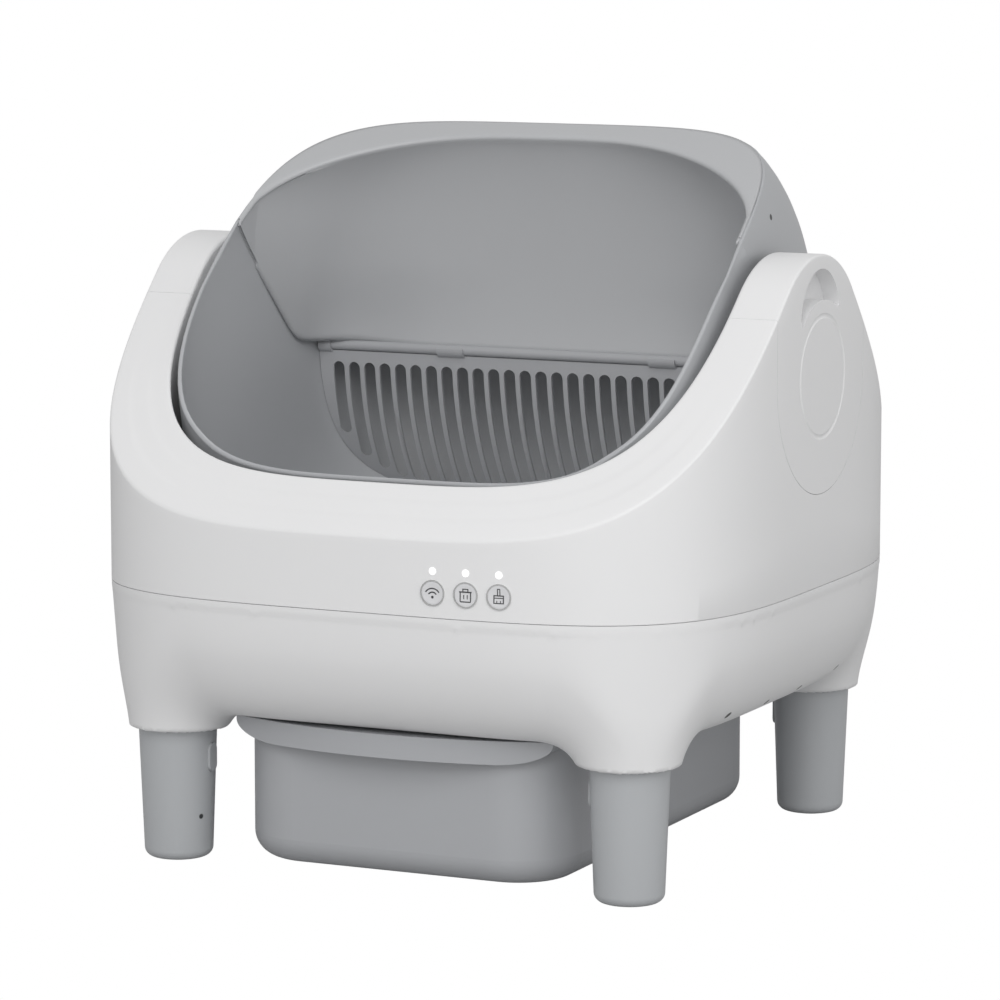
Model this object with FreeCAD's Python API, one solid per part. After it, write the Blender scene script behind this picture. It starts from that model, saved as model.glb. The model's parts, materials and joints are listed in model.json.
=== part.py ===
import FreeCAD, Part
import math
import os

# Smart litter box: an open drum that turns between two side towers, over a waste drawer, on four legs.
# Millimetres. X to the right, -Y to the front, +Z up. Origin on the floor, under the middle of the body.

# Driving dimensions of the body
BODY_HALF_WIDTH = 290.6
BODY_HALF_DEPTH = 279.9
BODY_POWER = 3.86          # exponent of the superellipse that the body has in plan
WALL = 3.0
SEAM_Z = 233.5             # upper and lower housing meet here
TOWER_TOP_Z = 509.0
CREST_Y = -7.0
CREST_RADIUS = 103.0
FRONT_SLOPE = 42.5         # degrees, roofline falling to the front
REAR_SLOPE = 45.5          # degrees, roofline falling to the rear
REAR_WALL_TOP_Z = 340.0
REAR_SWEEP_RADIUS = 120.0
MOUTH_HALF_WIDTH = 247.5   # opening of the housing that the drum turns in
MOUTH_HALF_DEPTH = 235.5
MOUTH_POWER = 3.8

# Lower housing
FLOOR_Z = 129.0            # underside of the belly
BELLY_TUCK = 58.0          # how far the belly draws in below the seam
SOCKET_RIM_Z = 112.0
SOCKET_WALL = 7.4
SOCKET_LEAN = 8.5          # the corners draw in this much from the seam to the socket rim
FLARE_RADIUS = 40.0
FLARE_ANGLE = 35.0         # degrees from upright, where the flare runs out into a cone
SOCKET_DEPTH = 73.0
TONGUE_HEIGHT = 4.5
TONGUE_WALL = 2.0

# Legs
LEG_X = 206.0
LEG_Y = 199.3
LEG_TOP_RADIUS = 32.8
LEG_FOOT_RADIUS = 28.5
LEG_EDGE = 8.0
LEG_WALL = 3.5
SPIGOT_LENGTH = 68.0
PAD_RADIUS = 19.0
PAD_HEIGHT = 3.0
PAD_PROUD = 0.8
LEG_BUTTON_Z = 87.0
LEG_BUTTON_WIDTH = 12.0
LEG_BUTTON_HEIGHT = 24.0
LEG_BUTTON_PROUD = 1.8
LEG_BUTTON_FLANGE = 2.0
LEG_BUTTON_THICK = 3.0
LOAD_CELL_RADIUS = 20.0

# Drum: a body of revolution about X
PIVOT_Z = 408.0
DRUM_HALF_LENGTH = 238.0
DRUM_RADIUS = 224.0
DRUM_POWER = 4.4
DRUM_WALL = 3.0
RIM_FRONT = (-214.0, 334.0)     # side view of the drum's rim, as (y, z)
RIM_MIDDLE = (-88.0, 482.0)
RIM_BACK = (112.0, 601.0)
RIM_TURN_Y = -194.0              # in front of here the rim turns down harder
RIM_TURN_RADIUS = 45.0
RIM_TURN_SLOPE = 66.0            # degrees, of the straight run that ends the turn
HOOD_JOINT_Y = -37.0            # the hood joins the bowl at the rim here
HOOD_JOINT_CORNER_Y = 74.0      # and the joint turns level here
HOOD_JOINT_Z = 404.0
HOOD_JOINT_ROUND = 30.0
LINER_WALL = 3.0
BAND_WIDTH = 27.0               # rim band of the hood, at its middle
LINER_BULGE = 53.0
LINER_CENTRE_Y = -40.0
LINER_POWER = 3.3                # plan of the liner at its top
LINER_JOINT_POWER = 7.0          # and where it meets the bowl
LINER_BLEND = 76.0               # height over which the one turns into the other
DIMPLE_PLACE = (28.0, 535.0)     # screw dimple on the hood's right side, as (y, z)
DIMPLE_RADIUS = 2.6
DIMPLE_DEPTH = 1.2

# Sieve and its hinge
HINGE_Y = 113.0
HINGE_Z = 401.0
HINGE_BAR_RADIUS = 4.5
KNUCKLE_WALL = 2.2
KNUCKLE_LENGTH = 12.0
CLIP_X = 101.0
CLIP_LENGTH = 25.0
CLIP_TOP = 1.5                  # the clips reach this far above the bar's middle
SIEVE_RADIUS = 205.0
SIEVE_THICK = 2.4
SIEVE_TOP_Z = 396.0
SLOT_COUNT = 29
SLOT_PITCH = 15.2
SLOT_WIDTH = 11.0
SLOT_TOP_Z = 386.0
SIEVE_BORDER = 9.0

# Side caps
CAP_HALF_WIDTH = 97.0
CAP_TONGUE = 4.0
CAP_TONGUE_THICK = 2.2
GRIP_Y = -5.0
GRIP_Z = 453.0
GRIP_RADIUS = 44.0
GRIP_INNER_RADIUS = 63.0
GRIP_DEPTH = 14.0
GRIP_WALL = 2.2
GRIP_ROUND = 5.0
DISH_RADIUS = 50.0
DISH_ROUND = 3.0
DISH_DEPTH = 0.8

# Drive
GEAR_MODULE = 2.0
GEAR_TEETH = 72
PINION_TEETH = 16
GEAR_FACE = 9.0
TOOTH_THINNING = 0.2
TRUNNION_RADIUS = 22.0
TRUNNION_BORE = 15.0
FLANGE_RADIUS = 36.0
FLANGE_THICK = 3.5
FLANGE_SCREWS = 4
FLANGE_SCREW_RADIUS = 29.0
BEARING_WIDTH = 11.0
BEARING_WALL = 8.0
BEARING_FOOT_Z = 338.0
MOTOR_RADIUS = 12.5
MOTOR_LENGTH = 52.0
GEARBOX_HALF_DEPTH = 21.0
GEARBOX_HEIGHT = 36.0
OUTPUT_RADIUS = 4.0

# Waste drawer
DRAWER_HALF_WIDTH = 147.0
DRAWER_FRONT = -217.0
DRAWER_REAR = 226.0
DRAWER_CORNER = 57.0
DRAWER_BOTTOM_Z = 5.0
DRAWER_EDGE = 22.0
DRAWER_WALL = 2.5
DRAWER_GAP = 4.5           # rim of the drawer to the floor above it
DRAWER_FLANGE = 6.5
PULL_REACH = 21.0          # how far the pull stands in front of the drawer
PULL_PLAN_RADIUS = 400.0
PULL_HALF_WIDTH = 144.0
PULL_BOTTOM_Z = 107.5
PULL_TOP_Z = 127.0
PULL_ROOF = 3.2
PULL_ROUND_WIDTH = 46.0
PULL_END_HEIGHT = 3.0
RAIL_HALF_LENGTH = 150.0
RAIL_WALL = 3.0

# Chute that guides the waste from the drum to the drawer
CHUTE_HALF_WIDTH = 133.0
CHUTE_HALF_DEPTH = 100.0
CHUTE_POWER = 6.0
CHUTE_WALL = 2.5
CHUTE_FLANGE = 12.0
CHUTE_DROP = 3.0

# Front panel
BUTTON_X = (70.0, 98.6, 126.7)
BUTTON_Z = 253.6
BUTTON_RADIUS = 9.2
BUTTON_PROUD = 0.6
BUTTON_TRAVEL = 1.0
RING_RADIUS = 10.6
RING_WALL = 1.0
RING_PROUD = 0.8
LIGHT_RADIUS = 3.1
LIGHT_RISE = 17.5
BOARD_THICK = 1.6
PANEL_BOARD_SETBACK = 14.0

# Rear electronics
MAIN_BOARD_SIZE = (120.0, 70.0)
MAIN_BOARD_Z = 250.0
POWER_SOCKET_X = -120.0
POWER_SOCKET_Z = 262.0
POWER_SOCKET_RADIUS = 6.0

# Screws
HOUSING_SCREW_X = 260.0
HOUSING_SCREW_Y = (-122.0, -37.0, 37.0, 122.0)
SCREW_RADIUS = 1.9
SCREW_HEAD_RADIUS = 3.6
SCREW_HEAD_HEIGHT = 2.4
BOSS_RADIUS = 5.5
BOSS_HEIGHT = 15.0
BOSS_RIB = 3.0
BOSS_RIB_RISE = 6.0          # the ribs start this far above the seam, over the lower housing's tongue
TRUNNION_SLOT_GAP = 1.5

# Clearances
CLEAR = 0.3                # between pieces that move past each other
RUNNING = 0.05             # radial, shaft in its bearing
JOINT_GAP = 0.4            # shut lines of covers
SEAT_GAP = 0.05            # drive pieces to the curved wall that they are screwed to

LEG_PLACES = {
    "front_left": (-LEG_X, -LEG_Y),
    "front_right": (LEG_X, -LEG_Y),
    "rear_left": (-LEG_X, LEG_Y),
    "rear_right": (LEG_X, LEG_Y),
}
REACH = 330.0              # past the body on every side, for cutting solids
ABOVE = 10.0               # past the towers' tops
BEYOND = 5.0               # past a wall's surface
TRUNNION_SLOT_INSET = 5.0  # the slots' cutters start this far inside the opening

V = FreeCAD.Vector
X_AXIS = V(1, 0, 0)
Y_AXIS = V(0, 1, 0)
Z_AXIS = V(0, 0, 1)


def box(x0, x1, y0, y1, z0, z1):
    """Block between the given planes."""
    return Part.makeBox(x1 - x0, y1 - y0, z1 - z0, V(x0, y0, z0))


def rod(radius, start, end):
    """Cylinder from one point to another."""
    line = end - start
    return Part.makeCylinder(radius, line.Length, start, line)


def polygon_wire(points):
    """Closed wire of straight edges."""
    return Part.makePolygon(list(points) + [points[0]])


def fuse_all(solids):
    """One solid from several that touch or overlap."""
    solids = list(solids)
    if len(solids) == 1:
        return solids[0]
    return solids[0].multiFuse(solids[1:]).removeSplitter()


def superellipse_points(a, b, power, z, count=48):
    """Points of |x/a|^power + |y/b|^power = 1, at even turns about the centre."""
    points = []
    for i in range(count):
        turn = 2 * math.pi * i / count
        c = math.cos(turn)
        s = math.sin(turn)
        reach = (abs(c) ** power + abs(s) ** power) ** (-1 / power)
        points.append(V(a * reach * c, b * reach * s, z))
    return points


def superellipse_wire(a, b, power, z):
    """Smooth closed superellipse in a level plane."""
    curve = Part.BSplineCurve()
    curve.interpolate(Points=superellipse_points(a, b, power, z), PeriodicFlag=True)
    return Part.Wire(curve.toShape())


def superellipse_prism(a, b, power, z0, z1):
    """Upright solid with a superellipse plan."""
    return Part.Face(superellipse_wire(a, b, power, z0)).extrude(V(0, 0, z1 - z0))


def body_prism(inset, z0, z1):
    """The body's plan, drawn in by inset, as an upright solid."""
    return superellipse_prism(BODY_HALF_WIDTH - inset, BODY_HALF_DEPTH - inset, BODY_POWER, z0, z1)


def mouth_prism(outset, z0, z1):
    """The housing's opening, let out by outset, as an upright solid."""
    return superellipse_prism(MOUTH_HALF_WIDTH + outset, MOUTH_HALF_DEPTH + outset, MOUTH_POWER, z0, z1)


def front_wall_y(x):
    """Y of the body's front wall at x."""
    return -BODY_HALF_DEPTH * (1 - abs(x / BODY_HALF_WIDTH) ** BODY_POWER) ** (1 / BODY_POWER)


def front_wall_normal(x):
    """Outward direction of the body's front wall at x."""
    y = front_wall_y(x)
    nx = math.copysign(abs(x / BODY_HALF_WIDTH) ** (BODY_POWER - 1), x) / BODY_HALF_WIDTH
    ny = math.copysign(abs(y / BODY_HALF_DEPTH) ** (BODY_POWER - 1), y) / BODY_HALF_DEPTH
    direction = V(nx, ny, 0)
    direction.normalize()
    return direction


def across(face):
    """Extrudes a face drawn in the plane X = -REACH over the whole width."""
    return face.extrude(V(2 * REACH, 0, 0))


def side(y, z):
    """Point of a side view outline, in the plane X = -REACH."""
    return V(-REACH, y, z)


def under_roof(inset):
    """Everything below the roofline, lowered square to its surface by inset."""
    front = math.radians(FRONT_SLOPE)
    rear = math.radians(REAR_SLOPE)
    centre_z = TOWER_TOP_Z - CREST_RADIUS
    radius = CREST_RADIUS - inset
    front_y = CREST_Y - radius * math.sin(front)
    front_z = centre_z + radius * math.cos(front)
    rear_y = CREST_Y + radius * math.sin(rear)
    rear_z = centre_z + radius * math.cos(rear)
    edge_z = front_z - (REACH + front_y) * math.tan(front)
    outer_y = CREST_Y + CREST_RADIUS * math.sin(rear)
    outer_z = centre_z + CREST_RADIUS * math.cos(rear)
    corner_y = outer_y + (outer_z - REAR_WALL_TOP_Z) / math.tan(rear)
    sweep_y = corner_y + REAR_SWEEP_RADIUS * math.tan(rear / 2)
    sweep_z = REAR_WALL_TOP_Z + REAR_SWEEP_RADIUS
    sweep = REAR_SWEEP_RADIUS + inset
    start = side(sweep_y - sweep * math.sin(rear), sweep_z - sweep * math.cos(rear))
    middle = side(sweep_y - sweep * math.sin(rear / 2), sweep_z - sweep * math.cos(rear / 2))
    end = side(sweep_y, sweep_z - sweep)
    edges = [
        Part.LineSegment(side(-REACH, 0), side(-REACH, edge_z)),
        Part.LineSegment(side(-REACH, edge_z), side(front_y, front_z)),
        Part.Arc(side(front_y, front_z), side(CREST_Y, centre_z + radius), side(rear_y, rear_z)),
        Part.LineSegment(side(rear_y, rear_z), start),
        Part.Arc(start, middle, end),
        Part.LineSegment(end, side(REACH, sweep_z - sweep)),
        Part.LineSegment(side(REACH, sweep_z - sweep), side(REACH, 0)),
        Part.LineSegment(side(REACH, 0), side(-REACH, 0)),
    ]
    return across(Part.Face(Part.Wire([e.toShape() for e in edges])))


def cap_zone(sign, outset, inner_x):
    """U-shaped region of one tower, seen from its side: round below, open at the top."""
    half = CAP_HALF_WIDTH + outset
    low = rod(half, V(sign * inner_x, 0, PIVOT_Z), V(sign * REACH, 0, PIVOT_Z))
    x0, x1 = sorted((sign * inner_x, sign * REACH))
    return low.fuse(box(x0, x1, -half, half, PIVOT_Z, TOWER_TOP_Z + 20))


def cover_layer(thick, outset):
    """Skin of the outer wall and roof of the upper housing, thick deep, let out by outset."""
    top = TOWER_TOP_Z + 10
    outer = body_prism(-outset, SEAM_Z, top).common(under_roof(-outset))
    return outer.cut(body_prism(thick, SEAM_Z - 1, top).common(under_roof(thick)))


def side_wall_x(y):
    """Half width of the body at y."""
    return BODY_HALF_WIDTH * (1 - abs(y / BODY_HALF_DEPTH) ** BODY_POWER) ** (1 / BODY_POWER)


def panel_holes():
    """Holes of the front panel: one per button ring and one per status light."""
    holes = []
    for x in BUTTON_X:
        wall = V(x, front_wall_y(x), BUTTON_Z)
        out = front_wall_normal(x)
        holes.append(rod(RING_RADIUS - RING_WALL, wall - out * 8, wall + out * 8))
        lamp = V(wall.x, wall.y, BUTTON_Z + LIGHT_RISE)
        holes.append(rod(LIGHT_RADIUS + RUNNING, lamp - out * 8, lamp + out * 8))
    return holes


def cover_seat(sign):
    """Layer of wall and roof that makes way for one side cap."""
    zone = cap_zone(sign, JOINT_GAP, MOUTH_HALF_WIDTH - TRUNNION_SLOT_INSET)
    return cover_layer(WALL + CLEAR, BEYOND).common(zone)


def trunnion_slot(sign):
    """Slot that a trunnion is lowered through, round below and open at the top."""
    half = TRUNNION_RADIUS + TRUNNION_SLOT_GAP
    start = sign * (MOUTH_HALF_WIDTH - TRUNNION_SLOT_INSET)
    end = sign * (MOUTH_HALF_WIDTH + WALL + TRUNNION_SLOT_GAP)
    x0, x1 = sorted((start, end))
    low = rod(half, V(start, 0, PIVOT_Z), V(end, 0, PIVOT_Z))
    return low.fuse(box(x0, x1, -half, half, PIVOT_Z, TOWER_TOP_Z + ABOVE))


def make_upper_housing():
    """Outer wall and roof round the drum, with the seats of both side caps cut out."""
    top = TOWER_TOP_Z + ABOVE
    block = body_prism(0, SEAM_Z, top).common(under_roof(0)).cut(mouth_prism(0, SEAM_Z - 1, top))
    shell = block.cut(body_prism(WALL, SEAM_Z - 1, top).common(under_roof(WALL)))
    bosses = []
    for sign in (-1, 1):
        for y in HOUSING_SCREW_Y:
            centre = V(sign * HOUSING_SCREW_X, y, SEAM_Z)
            bosses.append(rod(BOSS_RADIUS, centre, centre + Z_AXIS * BOSS_HEIGHT))
            x0, x1 = sorted((sign * HOUSING_SCREW_X, sign * (side_wall_x(y) - WALL / 2)))
            bosses.append(box(x0, x1, y - BOSS_RIB / 2, y + BOSS_RIB / 2,
                              SEAM_Z + BOSS_RIB_RISE, SEAM_Z + BOSS_HEIGHT))
    shell = fuse_all([shell] + bosses)
    cuts = panel_holes()
    for sign in (-1, 1):
        cuts.append(cover_seat(sign))
        cuts.append(trunnion_slot(sign))
        for y in HOUSING_SCREW_Y:
            base = V(sign * HOUSING_SCREW_X, y, SEAM_Z - 1)
            cuts.append(rod(SCREW_RADIUS, base, base + Z_AXIS * (BOSS_HEIGHT - 1)))
    rear = V(POWER_SOCKET_X, BODY_HALF_DEPTH + BEYOND, POWER_SOCKET_Z)
    cuts.append(rod(POWER_SOCKET_RADIUS + RUNNING, rear - Y_AXIS * (4 * WALL + BEYOND), rear))
    for cut in cuts:
        shell = shell.cut(cut)
    return shell


def make_drum_well():
    """Upright wall round the drum, from the seam up to the roof's underside; it carries the bearings."""
    top = TOWER_TOP_Z + ABOVE
    well = mouth_prism(WALL, SEAM_Z, top).cut(mouth_prism(0, SEAM_Z - 1, top + 1)).common(under_roof(WALL))
    for sign in (-1, 1):
        well = well.cut(cover_seat(sign)).cut(trunnion_slot(sign))
    return well


def mouth_x(y):
    """Half width of the housing's opening at y."""
    return MOUTH_HALF_WIDTH * (1 - abs(y / MOUTH_HALF_DEPTH) ** MOUTH_POWER) ** (1 / MOUTH_POWER)


def grip_solid(outset, x0, x1):
    """Crescent that a hand reaches into: one disc less the disc round the pivot."""
    outer = rod(GRIP_RADIUS + outset, V(x0, GRIP_Y, GRIP_Z), V(x1, GRIP_Y, GRIP_Z))
    inner = rod(GRIP_INNER_RADIUS - outset, V(x0, 0, PIVOT_Z), V(x1, 0, PIVOT_Z))
    crescent = outer.cut(inner)
    tips = []
    for edge in crescent.Edges:
        line = edge.Vertexes[-1].Point - edge.Vertexes[0].Point
        if len(edge.Vertexes) == 2 and abs(line.x) > 0.9 * abs(x1 - x0) and line.Length < abs(x1 - x0) + 0.01:
            tips.append(edge)
    return crescent.makeFillet(GRIP_ROUND + outset, tips)


def make_side_cap(sign):
    """Cover of one tower: crest, U-shaped side panel, grip recess and the tongue at the foot of the U.

    The tongue stays narrower than the U, so that the cap lifts straight off.
    """
    wall_x = BODY_HALF_WIDTH
    skin = cover_layer(WALL, 0).cut(mouth_prism(0, SEAM_Z - 1, TOWER_TOP_Z + 10))
    cap = skin.common(cap_zone(sign, 0, MOUTH_HALF_WIDTH - 5))
    behind = body_prism(WALL + CLEAR, SEAM_Z, TOWER_TOP_Z).cut(
        body_prism(WALL + CLEAR + CAP_TONGUE_THICK, SEAM_Z - 1, TOWER_TOP_Z + 1))
    rim = cap_zone(sign, CAP_TONGUE, MOUTH_HALF_WIDTH + 20).cut(cap_zone(sign, -CAP_TONGUE, MOUTH_HALF_WIDTH))
    lift_way = box(-REACH, REACH, 1 - CAP_HALF_WIDTH, CAP_HALF_WIDTH - 1, SEAM_Z, PIVOT_Z)
    tongue = behind.common(rim).common(lift_way)
    neck_skin = body_prism(WALL - 1, SEAM_Z, TOWER_TOP_Z).cut(
        body_prism(WALL + CLEAR + CAP_TONGUE_THICK, SEAM_Z - 1, TOWER_TOP_Z + 1))
    neck_rim = cap_zone(sign, 0, MOUTH_HALF_WIDTH + 20).cut(cap_zone(sign, -CAP_TONGUE, MOUTH_HALF_WIDTH))
    neck = neck_skin.common(neck_rim).common(under_roof(WALL + 6))
    pocket = grip_solid(GRIP_WALL, sign * (wall_x - GRIP_DEPTH - GRIP_WALL), sign * (wall_x - 1))
    cap = fuse_all([cap, neck, tongue, pocket])
    cap = cap.cut(grip_solid(0, sign * (wall_x - GRIP_DEPTH), sign * (wall_x + 5)))
    groove = Part.makeTorus(DISH_RADIUS, DISH_ROUND, V(sign * (wall_x + DISH_ROUND - DISH_DEPTH), 0, PIVOT_Z), X_AXIS)
    return cap.cut(groove)


def belly(inset):
    """Lower body: a quarter ellipse from the seam to the floor, all round."""
    sections = []
    steps = 8
    for i in range(steps + 1):
        turn = math.pi / 2 * i / steps
        tuck = inset + (BELLY_TUCK - inset) * (1 - math.cos(turn))
        z = SEAM_Z - (SEAM_Z - FLOOR_Z - inset) * math.sin(turn)
        sections.append(superellipse_wire(BODY_HALF_WIDTH - tuck, BODY_HALF_DEPTH - tuck, BODY_POWER, z))
    return Part.makeLoft(sections, True, False)


def socket_flare(x, y, inset):
    """Socket of one leg: a ring at the rim that opens in a hollow curve, then as a cone, into the belly."""
    radius = LEG_TOP_RADIUS + CLEAR + SOCKET_WALL - inset
    low = SOCKET_RIM_Z + inset
    top = SEAM_Z if inset == 0 else SEAM_Z + 0.5
    sweep = FLARE_RADIUS + inset
    centre_r = radius + sweep
    turn = math.radians(FLARE_ANGLE)
    p0 = V(0, 0, low)
    p1 = V(radius, 0, low)
    p2 = V(centre_r - sweep * math.cos(turn / 2), 0, low + sweep * math.sin(turn / 2))
    p3 = V(centre_r - sweep * math.cos(turn), 0, low + sweep * math.sin(turn))
    p4 = V(p3.x + (top - p3.z) * math.tan(turn), 0, top)
    p5 = V(0, 0, top)
    edges = [
        Part.LineSegment(p0, p1),
        Part.Arc(p1, p2, p3),
        Part.LineSegment(p3, p4),
        Part.LineSegment(p4, p5),
        Part.LineSegment(p5, p0),
    ]
    solid = Part.Face(Part.Wire([e.toShape() for e in edges])).revolve(V(0, 0, 0), Z_AXIS, 360)
    solid.translate(V(x, y, 0))
    return solid


def lean_envelope(inset):
    """The body's plan at the seam, drawn in by SOCKET_LEAN down to the socket rims."""
    sections = []
    for z, lean in ((SEAM_Z, 0), (SOCKET_RIM_Z, SOCKET_LEAN)):
        tuck = inset + lean
        sections.append(superellipse_wire(BODY_HALF_WIDTH - tuck, BODY_HALF_DEPTH - tuck, BODY_POWER, z))
    return Part.makeLoft(sections, True, True)


def lower_form(inset):
    """Outside of the lower housing, or its hollow when inset is the wall."""
    pieces = [belly(inset)]
    for x, y in LEG_PLACES.values():
        pieces.append(socket_flare(x, y, inset))
    envelope = lean_envelope(inset)
    return pieces[0].multiFuse([p.common(envelope) for p in pieces[1:]])


def make_lower_housing():
    """Belly with its floor, leg sockets, screw tubes, and the tongue that locates the upper housing."""
    bore = LEG_TOP_RADIUS + CLEAR
    socket_top = SOCKET_RIM_Z + SOCKET_DEPTH
    keep = []
    for x, y in LEG_PLACES.values():
        keep.append(rod(bore + WALL, V(x, y, SOCKET_RIM_Z), V(x, y, socket_top + WALL)))
    for sign in (-1, 1):
        for y in HOUSING_SCREW_Y:
            x = sign * HOUSING_SCREW_X
            keep.append(rod(BOSS_RADIUS, V(x, y, FLOOR_Z), V(x, y, SEAM_Z)))
    hollow = lower_form(WALL)
    for solid in keep:
        hollow = hollow.cut(solid)
    shell = lower_form(0).cut(hollow)
    tongue = body_prism(WALL - 0.5, SEAM_Z - 8, SEAM_Z).cut(
        body_prism(WALL + CLEAR + TONGUE_WALL, SEAM_Z - 9, SEAM_Z + 1))
    lip = body_prism(WALL + CLEAR, SEAM_Z - 8, SEAM_Z + TONGUE_HEIGHT).cut(
        body_prism(WALL + CLEAR + TONGUE_WALL, SEAM_Z - 9, SEAM_Z + TONGUE_HEIGHT + 1))
    shell = fuse_all([shell, tongue, lip])
    for x, y in LEG_PLACES.values():
        shell = shell.cut(rod(bore, V(x, y, SOCKET_RIM_Z - 5), V(x, y, socket_top)))
    head_z = SEAM_Z - 30
    for sign in (-1, 1):
        for y in HOUSING_SCREW_Y:
            x = sign * HOUSING_SCREW_X
            shell = shell.cut(rod(SCREW_RADIUS + RUNNING, V(x, y, head_z - 1), V(x, y, SEAM_Z + 1)))
            shell = shell.cut(rod(SCREW_HEAD_RADIUS + CLEAR, V(x, y, FLOOR_Z - 5), V(x, y, head_z)))
    opening = superellipse_prism(CHUTE_HALF_WIDTH + CHUTE_WALL + CLEAR, CHUTE_HALF_DEPTH + CHUTE_WALL + CLEAR,
                                 CHUTE_POWER, FLOOR_Z - 5, FLOOR_Z + 10)
    return shell.cut(opening)


def make_housing_screws():
    """Screws that come up through the belly and hold the upper housing down."""
    head_z = SEAM_Z - 30
    screws = []
    for sign in (-1, 1):
        for y in HOUSING_SCREW_Y:
            x = sign * HOUSING_SCREW_X
            head = rod(SCREW_HEAD_RADIUS, V(x, y, head_z - SCREW_HEAD_HEIGHT), V(x, y, head_z))
            shank = rod(SCREW_RADIUS, V(x, y, head_z), V(x, y, SEAM_Z + BOSS_HEIGHT - 4))
            screws.append(head.fuse(shank))
    return Part.makeCompound(screws)


def make_chute():
    """Funnel from the drum's pit to the drawer, with a flange on the floor and a short spout through it."""
    low_z = FLOOR_Z + WALL
    high_z = SEAM_Z - 1.0

    def form(grow):
        spread = superellipse_wire(MOUTH_HALF_WIDTH - 1.5 - CHUTE_WALL + grow,
                                   MOUTH_HALF_DEPTH - 2 - CHUTE_WALL + grow, MOUTH_POWER, high_z)
        throat = superellipse_wire(CHUTE_HALF_WIDTH + grow, CHUTE_HALF_DEPTH + grow, CHUTE_POWER, low_z)
        cone = Part.makeLoft([throat, spread], True, True)
        spout = superellipse_prism(CHUTE_HALF_WIDTH + grow, CHUTE_HALF_DEPTH + grow, CHUTE_POWER,
                                   FLOOR_Z - CHUTE_DROP, low_z)
        return cone.fuse(spout)

    flange = superellipse_prism(CHUTE_HALF_WIDTH + CHUTE_FLANGE, CHUTE_HALF_DEPTH + CHUTE_FLANGE, CHUTE_POWER,
                                low_z, low_z + CHUTE_WALL)
    return form(CHUTE_WALL).fuse(flange).cut(form(0))


def leg_button_solid(side_sign, x, y, inner, outer, outset):
    """Upright pill along X on the inward side of a leg, between two distances from the leg's axis."""
    half = LEG_BUTTON_WIDTH / 2 + outset
    rise = (LEG_BUTTON_HEIGHT - LEG_BUTTON_WIDTH) / 2
    start = x + side_sign * inner
    end = x + side_sign * outer
    low = rod(half, V(start, y, LEG_BUTTON_Z - rise), V(end, y, LEG_BUTTON_Z - rise))
    high = rod(half, V(start, y, LEG_BUTTON_Z + rise), V(end, y, LEG_BUTTON_Z + rise))
    x0, x1 = sorted((start, end))
    middle = box(x0, x1, y - half, y + half, LEG_BUTTON_Z - rise, LEG_BUTTON_Z + rise)
    return fuse_all([low, high, middle])


def leg_radius(z):
    """Outer radius of a leg at height z."""
    share = min(z / SOCKET_RIM_Z, 1)
    return LEG_FOOT_RADIUS + (LEG_TOP_RADIUS - LEG_FOOT_RADIUS) * share


def make_leg(x, y):
    """Tapered hollow leg with a straight spigot on top, a window for its button and a pocket for its pad."""
    foot_z = PAD_PROUD
    top = SOCKET_RIM_Z + SPIGOT_LENGTH
    turn = math.pi / 4
    edge_r = leg_radius(LEG_EDGE)
    p0 = V(0, 0, foot_z)
    p1 = V(edge_r - LEG_EDGE, 0, foot_z)
    p2 = V(edge_r - LEG_EDGE + LEG_EDGE * math.sin(turn), 0, foot_z + LEG_EDGE * (1 - math.cos(turn)))
    p3 = V(edge_r, 0, foot_z + LEG_EDGE)
    p4 = V(LEG_TOP_RADIUS, 0, SOCKET_RIM_Z)
    p5 = V(LEG_TOP_RADIUS, 0, top)
    p6 = V(0, 0, top)
    edges = [
        Part.LineSegment(p0, p1),
        Part.Arc(p1, p2, p3),
        Part.LineSegment(p3, p4),
        Part.LineSegment(p4, p5),
        Part.LineSegment(p5, p6),
        Part.LineSegment(p6, p0),
    ]
    leg = Part.Face(Part.Wire([e.toShape() for e in edges])).revolve(V(0, 0, 0), Z_AXIS, 360)
    low_bore = LEG_FOOT_RADIUS - LEG_WALL
    high_bore = LEG_TOP_RADIUS - LEG_WALL
    leg = leg.cut(Part.makeCone(low_bore, high_bore, top - 12, V(0, 0, 12.5)))
    leg = leg.cut(rod(PAD_RADIUS, V(0, 0, -1), V(0, 0, PAD_HEIGHT)))
    leg.translate(V(x, y, 0))
    inward = -1 if x > 0 else 1
    window = leg_button_solid(inward, x, y, 10, LEG_TOP_RADIUS + 5, CLEAR)
    return leg.cut(window)


def make_leg_button(x, y):
    """Release button of a leg: a pill in the leg's window, with a flange behind the wall."""
    inward = -1 if x > 0 else 1
    wall_outer = leg_radius(LEG_BUTTON_Z)
    wall_inner = wall_outer - LEG_WALL - 4
    face = leg_button_solid(inward, x, y, wall_inner - LEG_BUTTON_THICK, wall_outer + LEG_BUTTON_PROUD, 0)
    flange = leg_button_solid(inward, x, y, wall_inner - LEG_BUTTON_THICK, wall_inner - CLEAR, LEG_BUTTON_FLANGE)
    bore = rod(wall_outer - LEG_WALL - 2, V(x, y, LEG_BUTTON_Z - 30), V(x, y, LEG_BUTTON_Z + 30))
    return face.fuse(flange.common(bore)).removeSplitter()


def make_foot_pad(x, y):
    """Rubber disc under a leg."""
    pad = rod(PAD_RADIUS - CLEAR, V(x, y, 0), V(x, y, PAD_HEIGHT))
    rim = [e for e in pad.Edges if abs(e.CenterOfMass.z) < 0.01 and len(e.Vertexes) == 1]
    return pad.makeFillet(0.6, rim)


def make_load_cells():
    """Weighing discs, one in the top of each leg socket."""
    cells = []
    top = SOCKET_RIM_Z + SOCKET_DEPTH
    low = SOCKET_RIM_Z + SPIGOT_LENGTH + CLEAR
    for x, y in LEG_PLACES.values():
        cells.append(rod(LOAD_CELL_RADIUS, V(x, y, low), V(x, y, top)))
    return Part.makeCompound(cells)


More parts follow.
